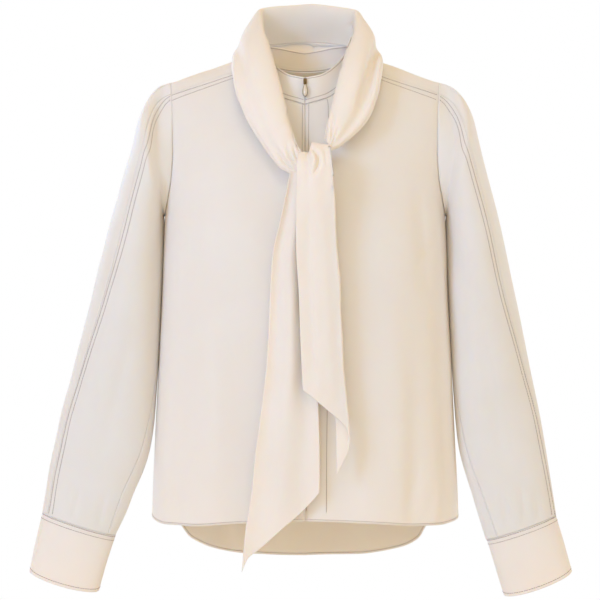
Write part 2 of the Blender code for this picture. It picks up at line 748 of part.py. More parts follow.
# Zip: the tape behind the slit, the slider and its pull tab
TAPE_HALF = 0.011
TAPE_THICK = 0.0009
TAPE_INSET = 0.0019
TAPE_ABOVE_SEAM = 0.031
TAPE_BELOW_SEAM = 0.290
TAPE_CURVE_AT_COLLAR = 9.2
TAPE_CURVE_BELOW = 1.2
TAPE_CURVE_CHANGE = 0.02
SLIDER_WIDTH = 0.0046
SLIDER_HEIGHT = 0.0080
SLIDER_DEPTH = 0.0022
SLIDER_Z = -0.0210
SLIDER_CLEAR = SEAM_GAP + 0.0002
SLIDER_ROUND = 0.0012
BRIDGE_HALF = 0.0024
BRIDGE_WIRE = 0.0005
BRIDGE_SUNK = 0.0004
PIVOT_OUT = 0.0013
PULL_WIDTH = 0.0065
PULL_LENGTH = 0.0210
PULL_THICK = 0.0011
PULL_EYE_TOP = 0.0006
PULL_EYE_WIDTH = 0.0032
PULL_EYE_LENGTH = 0.0052
PULL_NECK = 0.0050
PULL_ABOVE_PIVOT = 0.0011


def centre_front(down):
    """The outer surface at the centre front, by the distance below the neck seam."""
    if down <= 0:
        up = min(-down / COLLAR_RISE, 1.0)
        return collar_point(1.0, up) * np.array((0, 1, 1))
    hem = -run_at(-read(FRONT_HEM, "height", 0))
    run = front_top(0.0) + (hem - front_top(0.0)) * down / CENTRE_FRONT_LENGTH
    return body(0.0, run)


def tape_point(x, down):
    here = centre_front(down)
    along = unit(centre_front(down + 0.006) - centre_front(down - 0.006))
    inwards = unit(np.cross((1, 0, 0), along))
    lower = smooth_step(down / TAPE_CURVE_CHANGE)
    curve = TAPE_CURVE_AT_COLLAR + (TAPE_CURVE_BELOW - TAPE_CURVE_AT_COLLAR) * lower
    return here + inwards * (TAPE_INSET + curve * x * x) + np.array((x, 0, 0))


def box(bm, size, centre):
    made = bmesh.ops.create_cube(bm, size=1)["verts"]
    bmesh.ops.scale(bm, vec=size, verts=made)
    bmesh.ops.translate(bm, vec=centre, verts=made)


def pull_outline():
    """Half widths of the tab by distance from its pivot: a narrow neck that swells to a drop."""
    points = []
    for i in range(17):
        t = i / 16
        far = (1 - math.cos(math.pi * t)) / 2
        down = -PULL_ABOVE_PIVOT + (PULL_LENGTH + PULL_ABOVE_PIVOT) * far
        width = PULL_NECK / 2 + (PULL_WIDTH - PULL_NECK) / 2 * smooth_step((far - 0.3) / 0.4)
        points.append((width * min(1.0, 2.2 * math.sqrt(far * (1 - far) + 1e-9)), down))
    return points


def make_zip(silk, brass, enamel):
    width = [-TAPE_HALF, -TAPE_HALF / 2, 0, TAPE_HALF / 2, TAPE_HALF]
    length = TAPE_ABOVE_SEAM + TAPE_BELOW_SEAM
    downs = [-TAPE_ABOVE_SEAM + length * i / 18 for i in range(19)]
    cloth("zip_tape", tape_point, width, downs, TAPE_THICK, silk)

    low, high = centre_front(0), centre_front(-COLLAR_RISE)
    lean = math.atan2(high[1] - low[1], high[2] - low[2])
    share = (SLIDER_Z - low[2]) / (high[2] - low[2])
    foot = low + (high - low) * share
    turn = Matrix.Rotation(-lean, 4, "X")
    turn = Matrix.Translation(Vector(foot)) @ turn

    bm = bmesh.new()
    middle = -(SLIDER_CLEAR + SLIDER_DEPTH / 2)
    box(bm, (SLIDER_WIDTH, SLIDER_DEPTH, SLIDER_HEIGHT), (0, middle, 0))
    edges = [e for e in bm.edges if abs(e.verts[0].co.y - e.verts[1].co.y) > 1e-6]
    bmesh.ops.bevel(
        bm, geom=edges, offset=SLIDER_ROUND, segments=3, profile=0.5, affect="EDGES", material=-1
    )
    slider = finished("zip_slider", bm, brass)
    face = middle - SLIDER_DEPTH / 2

    path = bpy.data.curves.new("bridge", "CURVE")
    path.dimensions = "3D"
    path.bevel_depth = BRIDGE_WIRE
    path.bevel_resolution = 2
    path.use_fill_caps = True
    spline = path.splines.new("POLY")
    spline.points.add(10)
    for i, point in enumerate(spline.points):
        angle = math.pi * i / 10
        out = face + BRIDGE_SUNK - (2 * PIVOT_OUT + BRIDGE_WIRE) * math.sin(angle) ** 0.7
        point.co = (0, out, BRIDGE_HALF * math.cos(angle), 1)
    guide = bpy.data.objects.new("bridge", path)
    bpy.data.collections["cutters"].objects.link(guide)
    graph = bpy.context.evaluated_depsgraph_get()
    mesh = bpy.data.meshes.new_from_object(guide.evaluated_get(graph))
    bpy.data.objects.remove(guide)
    bm = bmesh.new()
    bm.from_mesh(mesh)
    bmesh.ops.remove_doubles(bm, verts=bm.verts[:], dist=1e-7)
    bmesh.ops.recalc_face_normals(bm, faces=bm.faces[:])
    bm.to_mesh(mesh)
    bm.free()
    bridge = bpy.data.objects.new("bridge", mesh)
    bridge.hide_render = True
    bridge.display_type = "WIRE"
    bpy.data.collections["cutters"].objects.link(bridge)
    join = slider.modifiers.new("bridge", "BOOLEAN")
    join.operation = "UNION"
    join.object = bridge
    for obj in (slider, bridge):
        obj.matrix_world = turn

    outline = bpy.data.curves.new("zip_pull", "CURVE")
    outline.dimensions = "2D"
    outline.fill_mode = "BOTH"
    outline.extrude = PULL_THICK / 2
    side = pull_outline()
    loop = [(w, -d) for w, d in side] + [(-w, -d) for w, d in reversed(side[1:-1])]
    spline = outline.splines.new("POLY")
    spline.points.add(len(loop) - 1)
    for point, place in zip(spline.points, loop):
        point.co = (*place, 0, 1)
    spline.use_cyclic_u = True
    hole = outline.splines.new("POLY")
    hole.points.add(11)
    for i, point in enumerate(hole.points):
        angle = 2 * math.pi * i / 12
        x = PULL_EYE_WIDTH / 2 * math.cos(angle)
        y = -PULL_EYE_TOP - PULL_EYE_LENGTH / 2 + PULL_EYE_LENGTH / 2 * math.sin(angle)
        point.co = (x, y, 0, 1)
    hole.use_cyclic_u = True
    outline.materials.append(enamel)
    pull = bpy.data.objects.new("zip_pull", outline)
    bpy.data.collections[COLLECTION].objects.link(pull)
    pivot = Matrix.Translation((0, face - PIVOT_OUT, 0))
    pull.matrix_world = turn @ pivot @ Matrix.Rotation(math.pi / 2, 4, "X")


def main():
    for obj in list(bpy.data.objects):
        bpy.data.objects.remove(obj)
    for name in (COLLECTION, "cutters"):
        bpy.context.scene.collection.children.link(bpy.data.collections.new(name))
    silk = material("silk_crepe", (0.86, 0.79, 0.70), 0.55)
    brass = material("aged_brass", (0.36, 0.27, 0.15), 0.35, 1.0)
    enamel = material("cream_enamel", (0.80, 0.74, 0.62), 0.3)
    make_body(silk)
    make_sleeves(silk)
    make_collar(silk)
    make_scarf(silk)
    make_tails(silk)
    make_zip(silk, brass, enamel)


main()
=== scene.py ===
"""Looks of a tie-neck blouse in ivory silk crepe, filled out as if it were worn.

Each piece of cloth is a thin wall on the same surface as its solid in the frame, with the soft
folds of the real one, and the seams carry rows of brown topstitching. Sizes are in metres unless
a name ends in MM.
"""

from __future__ import annotations

import logging
import math
from dataclasses import dataclass, field
from enum import Enum
from typing import Callable

import bmesh
import bpy
import numpy as np
from mathutils import Matrix, Vector


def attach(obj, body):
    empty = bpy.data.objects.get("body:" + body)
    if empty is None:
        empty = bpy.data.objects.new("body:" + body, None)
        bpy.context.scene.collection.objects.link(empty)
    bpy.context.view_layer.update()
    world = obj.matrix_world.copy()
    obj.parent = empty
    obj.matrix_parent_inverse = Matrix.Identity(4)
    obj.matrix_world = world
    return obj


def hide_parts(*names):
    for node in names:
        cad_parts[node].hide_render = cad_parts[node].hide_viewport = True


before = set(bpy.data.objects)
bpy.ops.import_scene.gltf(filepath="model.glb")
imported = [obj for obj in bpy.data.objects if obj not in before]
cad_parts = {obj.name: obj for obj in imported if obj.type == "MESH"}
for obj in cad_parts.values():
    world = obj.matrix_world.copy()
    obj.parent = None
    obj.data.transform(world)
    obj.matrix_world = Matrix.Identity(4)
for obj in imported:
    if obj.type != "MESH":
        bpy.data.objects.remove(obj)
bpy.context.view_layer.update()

Array = np.ndarray
Surface = Callable[[Array, Array], Array]
LOG = logging.getLogger("blouse")
MM = 0.001
CLOTH_BODY = "blouse"
PULL_BODY = "pull_tab"

# Walls and seams
CREPE_THICK = 1.0 * MM
CUFF_THICK = 1.8 * MM
TIE_THICK = 1.6 * MM
SEAM_GAP = 0.05 * MM
ZIP_SLIT = 0.9 * MM

# Shoulder line and body, as in the solids
CREST_HEIGHT = 0.007
CREST_HEIGHT_AT = 0.120
CREST_SLOPE = 0.358
CREST_ROUND = 0.050
CREST_FADE = 0.26
BODY_DROP = 0.640
SQUARENESS = 0.045
SQUARE_FROM_RUN = 0.3
SHOULDER_SEAM_BELOW = 0.0165
NECK_TURN = 27.7
ARM_TURN = 70.0
BACK_NECK_BELOW = 0.030
PANEL_WIDTH = 0.30
BACK_LENGTH = 0.70
NECK_EVENS_OUT = 2.5
CENTRE_FRONT_LENGTH = 0.55
# Metres of cloth to one unit of a panel's way down, as its turned hem reads it
BACK_HEM_RATE = 1.45
FRONT_HEM_RATE = 0.9
# How much facing up counts as facing out, for the cloth over the shoulders
UP_IS_OUT = 0.1
# The turned hem's stitches: their height, the spread of their pull and its depth
HEM_STITCH_UP = 2.8 * MM
HEM_STITCH_SPREAD = 1.4 * MM
HEM_STITCH_DEPTH = 0.30 * MM
PLACKET_STANDS = 0.35 * MM
PLACKET_DIP = 0.25 * MM
FELLED_STANDS = 0.40 * MM
FELLED_WIDTH = 11.5 * MM


def smooth_step(t: Array | float) -> Array:
    """A share from 0 to 1 that starts and ends level.

    Args:
        t: The share before smoothing; past 0 and 1 it is held.

    Returns:
        The smoothed share.
    """
    t = np.clip(t, 0.0, 1.0)
    return t * t * (3 - 2 * t)


def unit(v: Array) -> Array:
    """Vectors of length 1 in the same directions.

    Args:
        v: Vectors in the last axis.

    Returns:
        The vectors, each divided by its length.
    """
    return v / np.maximum(np.linalg.norm(v, axis=-1, keepdims=True), 1e-12)


def linear(hex_colour: str) -> tuple[float, float, float, float]:
    """An sRGB hex colour as linear red, green, blue and full alpha.

    Args:
        hex_colour: Six hex digits.

    Returns:
        The linear colour.
    """
    parts = [int(hex_colour[i : i + 2], 16) / 255 for i in (0, 2, 4)]
    made = [c / 12.92 if c <= 0.04045 else ((c + 0.055) / 1.055) ** 2.4 for c in parts]
    return (made[0], made[1], made[2], 1.0)


class Table:
    """Rows of named columns, read on a smooth curve that never overshoots its rows."""

    def __init__(self, columns: str, *rows: tuple[float, ...]) -> None:
        """Keeps the rows, whose first column is what the others are read by.

        Args:
            columns: The columns' names, with spaces between them.
            rows: One tuple of values for each row.
        """
        values = np.array(rows, float)
        self.keys = values[:, 0]
        self.columns = {name: values[:, i] for i, name in enumerate(columns.split())}
        self.slopes = {name: self._slopes(column) for name, column in self.columns.items()}

    def _slopes(self, values: Array) -> Array:
        """Slopes at the rows that keep the curve within them.

        Args:
            values: One column.

        Returns:
            Its slope at each row.
        """
        rises = np.diff(values) / np.diff(self.keys)
        before, after = rises[:-1], rises[1:]
        both = before + after
        middle = np.where(before * after > 0, 2 * before * after / np.where(both == 0, 1, both), 0)
        return np.concatenate((rises[:1], middle, rises[-1:]))

    def read(self, column: str, at: Array | float) -> Array:
        """The column's values at places in the first column.

        Args:
            column: The column's name.
            at: Places in the first column.

        Returns:
            The values there.
        """
        values, slopes = self.columns[column], self.slopes[column]
        at = np.clip(at, self.keys[0], self.keys[-1])
        k = np.clip(np.searchsorted(self.keys, at) - 1, 0, len(self.keys) - 2)
        width = self.keys[k + 1] - self.keys[k]
        t = (at - self.keys[k]) / width
        start = (1 + 2 * t) * (1 - t) ** 2 * values[k] + t * (1 - t) ** 2 * width * slopes[k]
        end = t * t * (3 - 2 * t) * values[k + 1] + t * t * (t - 1) * width * slopes[k + 1]
        return start + end

    def point(self, prefix: str, at: Array) -> Array:
        """Points from three columns whose names end in x, y and z.

        Args:
            prefix: What the names start with.
            at: Places in the first column.

        Returns:
            The points, in the last axis.
        """
        return np.stack([self.read(prefix + axis, at) for axis in "xyz"], -1)


@dataclass(frozen=True)
class Crease:
    """A soft trough or ridge along a path in a piece's own plane, all in millimetres."""

    path: tuple[tuple[float, float], ...]
    height: float
    left: float
    right: float
    fade: float = 0.3

    def rounded(self) -> Array:
        """The path with its corners cut twice, so that the crease bends softly."""
        points = np.array(self.path, float)
        for _ in range(2):
            first = 0.75 * points[:-1] + 0.25 * points[1:]
            second = 0.25 * points[:-1] + 0.75 * points[1:]
            cut = np.stack((first, second), 1).reshape(-1, 2)
            points = np.concatenate((points[:1], cut, points[-1:]))
        return points

    def stand(self, plane: Array) -> Array:
        """How far the cloth stands out at places in the plane.

        Args:
            plane: The places, in the last axis.

        Returns:
            Heights in millimetres, below 0 in a trough.
        """
        points = self.rounded()
        steps = np.linalg.norm(np.diff(points, axis=0), axis=1)
        starts = np.concatenate(([0.0], np.cumsum(steps)))
        near = np.full(plane.shape[:-1], 1e9)
        place = np.zeros_like(near)
        is_left = np.zeros_like(near, bool)
        for a, b, length, start in zip(points[:-1], points[1:], steps, starts):
            if length < 1e-9:
                continue
            way = (b - a) / length
            off = plane - a
            along = np.clip(off @ way, 0, length)
            gap = np.linalg.norm(off - along[..., None] * way, axis=-1)
            closer = gap < near
            near = np.where(closer, gap, near)
            place = np.where(closer, start + along, place)
            is_left = np.where(closer, way[0] * off[..., 1] - way[1] * off[..., 0] > 0, is_left)
        share = place / starts[-1]
        ends = smooth_step(share / self.fade) * smooth_step((1 - share) / self.fade)
        width = np.where(is_left, self.left, self.right)
        return self.height * np.exp(-((near / width) ** 2)) * ends


@dataclass(frozen=True)
class Ripples:
    """The slight unevenness of hanging cloth: a few long waves that cross at odd angles."""

    height: float = 0.5
    length: float = 90.0
    stretch: float = 2.6
    seed: int = 1
    count: int = 7

    def stand(self, plane: Array) -> Array:
        """How far the cloth stands out at places in the plane.

        Args:
            plane: The places in millimetres, in the last axis.

        Returns:
            Heights in millimetres.
        """
        draw = np.random.default_rng(self.seed)
        total = np.zeros(plane.shape[:-1])
        for _ in range(self.count):
            length = self.length * draw.uniform(0.5, 1.6)
            lean = draw.normal(0, 0.35)
            phase = draw.uniform(0, 2 * math.pi)
            over = math.cos(lean) / length
            down = math.sin(lean) / length + draw.normal(0, 0.3) / (length * self.stretch)
            total += np.sin(2 * math.pi * (plane[..., 0] * over + plane[..., 1] * down) + phase)
        return total * self.height / math.sqrt(self.count)


Mould = Callable[[Array, Array, Array], Array]


def front_plane(u: Array, v: Array, points: Array) -> Array:
    """The place of a point as seen from the front, in millimetres."""
    return points[..., (0, 2)] / MM


@dataclass
class ClothPiece:
    """One piece of cloth: a wall on a surface, with its relief."""

    name: str
    surface: Surface
    across: Array
    along: Array
    thickness: float
    creases: tuple[Crease | Ripples, ...] = ()
    plane: Mould = front_plane
    extra: Mould | None = None
    tube: bool = False
    edge_fade: tuple[float, float, float, float] = (0.0, 0.0, 0.0, 0.0)
    rounds_body: bool = False

    def relief(self, u: Array, v: Array, points: Array) -> Array:
        """How far the cloth stands out from its surface.

        Args:
            u: Places across the piece.
            v: Places along it.
            points: The surface there.

        Returns:
            Distances in metres.
        """
        plane = self.plane(u, v, points)
        total = np.zeros(u.shape)
        for crease in self.creases:
            total += crease.stand(plane) * MM
        first, last = self.across[0], self.across[-1]
        top, bottom = self.along[0], self.along[-1]
        for fade, edge, place in zip(self.edge_fade, (first, last, top, bottom), (u, u, v, v)):
            if fade > 0:
                total *= smooth_step(np.abs(place - edge) / fade)
        if self.extra is not None:
            total += self.extra(u, v, points)
        return total

    def skin(self, u: Array, v: Array) -> tuple[Array, Array]:
        """The cloth's outer side.

        Args:
            u: Places across the piece.
            v: Places along it.

        Returns:
            Points of the outer side, and the directions that it faces.
        """
        step = 1e-4
        points = self.surface(u, v)
        over = self.surface(u + step, v) - self.surface(u - step, v)
        down = self.surface(u, v + step) - self.surface(u, v - step)
        out = -unit(np.cross(over, down))
        if self.rounds_body:
            from_axis = points * np.array((1.0, 1.0, 0.0)) + np.array((0.0, 0.0, UP_IS_OUT))
            inwards = np.sum(out * from_axis, axis=-1, keepdims=True) < 0
            out = np.where(inwards, -out, out)
        return points + out * self.relief(u, v, points)[..., None], out

    def build(self) -> bpy.types.Object:
        """The piece's mesh, from a grid that is laid on its outer side.

        Returns:
            The object, with its thickness as a modifier.
        """
        columns, rows = len(self.across) - 1, len(self.along) - 1
        bm = bmesh.new()
        bmesh.ops.create_grid(bm, x_segments=columns, y_segments=rows, size=0.5)
        mesh = bpy.data.meshes.new(self.name)
        bm.to_mesh(mesh)
        bm.free()
        places = np.empty(len(mesh.vertices) * 3)
        mesh.vertices.foreach_get("co", places)
        places = places.reshape(-1, 3)
        i = np.rint((places[:, 0] + 0.5) * columns).astype(int)
        j = np.rint((0.5 - places[:, 1]) * rows).astype(int)
        points, _ = self.skin(self.across[i], self.along[j])
        mesh.vertices.foreach_set("co", points.reshape(-1))
        if self.tube:
            bm = bmesh.new()
            bm.from_mesh(mesh)
            bmesh.ops.remove_doubles(bm, verts=bm.verts[:], dist=1e-6)
            bm.to_mesh(mesh)
            bm.free()
        mesh.shade_smooth()
        obj = bpy.data.objects.new(self.name, mesh)
        bpy.context.scene.collection.objects.link(obj)
        wall = obj.modifiers.new("wall", "SOLIDIFY")
        wall.thickness = self.thickness
        wall.offset = -1.0
        wall.use_rim = True
        LOG.info("%s: %d faces", self.name, len(mesh.polygons))
        return obj


def places(low: float, high: float, count: int, power: float = 1.0) -> Array:
    """Places from low to high, the same number on each side.

    Args:
        low: The first place.
        high: The last place.
        count: How many steps there are.
        power: Above 1, the places crowd towards the last one.

    Returns:
        The places, in order.
    """
    share = np.linspace(0, 1, count + 1)
    return low + (high - low) * (1 - (1 - share) ** power)


class Edge(Enum):
    """An edge of a piece's own plane."""

    FIRST = "first across"
    LAST = "last across"
    TOP = "top"
    BOTTOM = "bottom"


def add_node(
    tree: bpy.types.NodeTree,
    kind: str,
    settings: dict[str, object] | None = None,
    links: dict[str, bpy.types.NodeSocket] | None = None,
) -> bpy.types.Node:
    """Adds one node to a material.

    Args:
        tree: The material's nodes.
        kind: The node's type name.
        settings: Values for its inputs, or for its own properties.
        links: What feeds its inputs.

    Returns:
        The node.
    """
    node = tree.nodes.new(kind)
    for key, value in (settings or {}).items():
        if key in node.inputs:
            node.inputs[key].default_value = value
        else:
            setattr(node, key, value)
    for key, source in (links or {}).items():
        tree.links.new(source, node.inputs[key])
    return node


def new_material(name: str) -> tuple[bpy.types.Material, bpy.types.Node]:
    """An empty material with its shader.

    Args:
        name: The material's name.

    Returns:
        The material and its Principled BSDF.
    """
    made = bpy.data.materials.new(name)
    made.use_nodes = True
    return made, made.node_tree.nodes["Principled BSDF"]


@dataclass(frozen=True)
class SilkCrepe:
    """Ivory silk crepe: matt and slightly pebbled, with a faint soft sheen where it turns away."""

    name: str = "ivory_silk_crepe"
    pale: str = "F1EBE2"
    deep: str = "EEE6DA"
    roughness: float = 0.62
    sheen: float = 0.12
    # The real grain is about 0.3 mm, too fine to show, so it is drawn about three times as coarse
    grain_mm: float = 0.9
    grain_depth_mm: float = 0.05
    cloud_mm: float = 60.0
    # Light passes through one layer of it, and comes out warmer
    through: float = 0.5
    reach_mm: float = 3.5
    reach_share: tuple[float, float, float] = (1.0, 0.66, 0.40)

    def build(self) -> bpy.types.Material:
        """The material, on Object coordinates."""
        made, shader = new_material(self.name)
        tree = made.node_tree
        shader.inputs["Roughness"].default_value = self.roughness
        shader.inputs["Sheen Weight"].default_value = self.sheen
        shader.inputs["Sheen Roughness"].default_value = 0.5
        shader.inputs["Specular IOR Level"].default_value = 0.3
        shader.inputs["Subsurface Weight"].default_value = self.through
        shader.inputs["Subsurface Radius"].default_value = self.reach_share
        shader.inputs["Subsurface Scale"].default_value = self.reach_mm * MM
        where = add_node(tree, "ShaderNodeTexCoord").outputs["Object"]
        cloud = add_node(
            tree, "ShaderNodeTexNoise",
            {"Scale": 1 / (self.cloud_mm * MM), "Detail": 2.0}, {"Vector": where},
        )
        tone = add_node(tree, "ShaderNodeMix", {"data_type": "RGBA"})
        tone.inputs[6].default_value = linear(self.pale)
        tone.inputs[7].default_value = linear(self.deep)
        tree.links.new(cloud.outputs[0], tone.inputs[0])
        tree.links.new(tone.outputs[2], shader.inputs["Base Color"])
        grain = add_node(
            tree, "ShaderNodeTexNoise",
            {"Scale": 1 / (self.grain_mm * MM), "Detail": 3.0, "Roughness": 0.6}, {"Vector": where},
        )
        bump = add_node(
            tree, "ShaderNodeBump",
            {"Strength": 0.35, "Distance": self.grain_depth_mm * MM}, {"Height": grain.outputs[0]},
        )
        tree.links.new(bump.outputs[0], shader.inputs["Normal"])
        return made


@dataclass(frozen=True)
class SewingThread:
    """Brown polyester topstitching thread: a dull twist with small bright edges."""

    name: str = "brown_topstitch_thread"
    colour: str = "7C4F30"
    shade: str = "563420"
    roughness: float = 0.55
    twist_mm: float = 0.6

    def build(self) -> bpy.types.Material:
        """The material, on Object coordinates."""
        made, shader = new_material(self.name)
        tree = made.node_tree
        shader.inputs["Roughness"].default_value = self.roughness
        where = add_node(tree, "ShaderNodeTexCoord").outputs["Object"]
        twist = add_node(
            tree, "ShaderNodeTexNoise",
            {"Scale": 1 / (self.twist_mm * MM), "Detail": 1.0}, {"Vector": where},
        )
        mixed = add_node(tree, "ShaderNodeMix", {"data_type": "RGBA"})
        mixed.inputs[6].default_value = linear(self.colour)
        mixed.inputs[7].default_value = linear(self.shade)
        tree.links.new(twist.outputs[0], mixed.inputs[0])
        tree.links.new(mixed.outputs[2], shader.inputs["Base Color"])
        return made


@dataclass(frozen=True)
class AgedBrass:
    """Cast brass with a brown antique finish: a dark metal that is brighter where it is rubbed."""

    name: str = "aged_brass"
    bright: str = "9A8458"
    dark: str = "5C4A30"
    roughness: float = 0.38
    patch_mm: float = 1.5

    def build(self) -> bpy.types.Material:
        """The material, on Object coordinates."""
        made, shader = new_material(self.name)
        tree = made.node_tree
        shader.inputs["Metallic"].default_value = 1.0
        shader.inputs["Roughness"].default_value = self.roughness
        where = add_node(tree, "ShaderNodeTexCoord").outputs["Object"]
        patch = add_node(
            tree, "ShaderNodeTexNoise", {"Scale": 1 / (self.patch_mm * MM)}, {"Vector": where}
        )
        tone = add_node(tree, "ShaderNodeMix", {"data_type": "RGBA"})
        tone.inputs[6].default_value = linear(self.bright)
        tone.inputs[7].default_value = linear(self.dark)
        tree.links.new(patch.outputs[0], tone.inputs[0])
        tree.links.new(tone.outputs[2], shader.inputs["Base Color"])
        return made


@dataclass(frozen=True)
class CreamEnamel:
    """Cream enamel baked on the pull tab: smooth and glossy, with faint clouding."""

    name: str = "cream_enamel"
    colour: str = "E9E1CF"
    roughness: float = 0.25

    def build(self) -> bpy.types.Material:
        """The material, on Object coordinates."""
        made, shader = new_material(self.name)
        tree = made.node_tree
        shader.inputs["Roughness"].default_value = self.roughness
        shader.inputs["Coat Weight"].default_value = 0.4
        where = add_node(tree, "ShaderNodeTexCoord").outputs["Object"]
        cloud = add_node(tree, "ShaderNodeTexNoise", {"Scale": 300.0}, {"Vector": where})
        tone = add_node(tree, "ShaderNodeMix", {"data_type": "RGBA"})
        tone.inputs[6].default_value = linear(self.colour)
        tone.inputs[7].default_value = linear("DDD3BD")
        tree.links.new(cloud.outputs[0], tone.inputs[0])
        tree.links.new(tone.outputs[2], shader.inputs["Base Color"])
        return made


@dataclass
class StitchRow:
    """A row of topstitches along a path on one piece of cloth."""

    cloth: ClothPiece
    u: Array
    v: Array
    inside: bool = False

    def sampled(self) -> tuple[Array, Array]:
        """Points along the row on the cloth, and the directions that the cloth faces there."""
        share = np.linspace(0, 1, len(self.u))
        dense = np.linspace(0, 1, 900)
        u = np.interp(dense, share, self.u)
        v = np.interp(dense, share, self.v)
        points, out = self.cloth.skin(u, v)
        if self.inside:
            points = points - out * self.cloth.thickness
            out = -out
        return points, out


def row_beside(
    cloth: ClothPiece,
    edge: Edge,
    off: Array | float,
    low: float,
    high: float,
    inside: bool = False,
    count: int = 80,
) -> StitchRow:
    """A row that keeps its distance from an edge of the piece.

    Args:
        cloth: The piece.
        edge: The edge that the row runs beside.
        off: The distance, one for all or one for each place.
        low: Where the row starts along the edge.
        high: Where it ends.
        inside: Whether the row lies on the cloth's inner side.
        count: How many places are worked out.

    Returns:
        The row.
    """
    over = edge in (Edge.FIRST, Edge.LAST)
    ends = (cloth.across if over else cloth.along)[[0, -1]]
    if edge in (Edge.LAST, Edge.BOTTOM):
        ends = ends[::-1]
    run = (cloth.along if over else cloth.across)[[0, -1]]
    along = np.linspace(low, high, count)
    border = np.linspace(run[0], run[1], 240)
    into = ends[0] + (ends[1] - ends[0]) * 0.45 * np.linspace(0, 1, 44) ** 1.6

    def at(across_edge: Array, along_edge: Array) -> Array:
        """Points of the cloth at places across the edge and along it."""
        pair = (across_edge, along_edge) if over else (along_edge, across_edge)
        return cloth.surface(*np.broadcast_arrays(*pair))

    rim = at(np.full(240, ends[0]), border)
    wanted = np.broadcast_to(off, (count,))
    found = np.empty(count)
    for k, place in enumerate(along):
        points = at(into, np.full(44, place))
        far = np.linalg.norm(points[:, None] - rim[None], axis=-1).min(1)
        found[k] = np.interp(wanted[k], np.maximum.accumulate(far), into)
    u, v = (found, along) if over else (along, found)
    return StitchRow(cloth, u, v, inside)


@dataclass
class Stitching:
    """Rows of topstitching, each stitch a short thread whose ends dip into the cloth."""

    name: str
    rows: list[StitchRow] = field(default_factory=list)
    stitch: float = 2.5 * MM
    pitch: float = 3.4 * MM
    thread: float = 0.24 * MM
    raised: float = 0.16 * MM
    seed: int = 5

    def build(self, finish: bpy.types.Material) -> bpy.types.Object:
        """One mesh of all the stitches.

        Args:
            finish: The thread's material.

        Returns:
            The object.
        """
        draw = np.random.default_rng(self.seed)
        path = bpy.data.curves.new(self.name, "CURVE")
        path.dimensions = "3D"
        path.bevel_depth = self.thread
        path.bevel_resolution = 1
        path.use_fill_caps = True
        lifts = np.array((-0.6, 0.8, 1.0, 0.8, -0.6)) * self.raised
        for row in self.rows:
            points, out = row.sampled()
            steps = np.linalg.norm(np.diff(points, axis=0), axis=1)
            far = np.concatenate(([0.0], np.cumsum(steps)))
            count = int(far[-1] / self.pitch)
            for k in range(count):
                start = k * self.pitch + draw.uniform(-0.15, 0.15) * MM
                at = start + self.stitch * np.array((0.0, 0.15, 0.5, 0.85, 1.0))
                spline = path.splines.new("POLY")
                spline.points.add(4)
                for point, place, lift in zip(spline.points, at, lifts):
                    here = [np.interp(place, far, points[:, axis]) for axis in range(3)]
                    face = [np.interp(place, far, out[:, axis]) for axis in range(3)]
                    point.co = (*(h + lift * f for h, f in zip(here, face)), 1)
        guide = bpy.data.objects.new(self.name + "_path", path)
        bpy.context.scene.collection.objects.link(guide)
        graph = bpy.context.evaluated_depsgraph_get()
        mesh = bpy.data.meshes.new_from_object(guide.evaluated_get(graph))
        bpy.data.objects.remove(guide)
        mesh.name = self.name
        mesh.shade_smooth()
        mesh.materials.clear()
        mesh.materials.append(finish)
        obj = bpy.data.objects.new(self.name, mesh)
        bpy.context.scene.collection.objects.link(obj)
        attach(obj, CLOTH_BODY)
        LOG.info("%s: %d faces", self.name, len(mesh.polygons))
        return obj


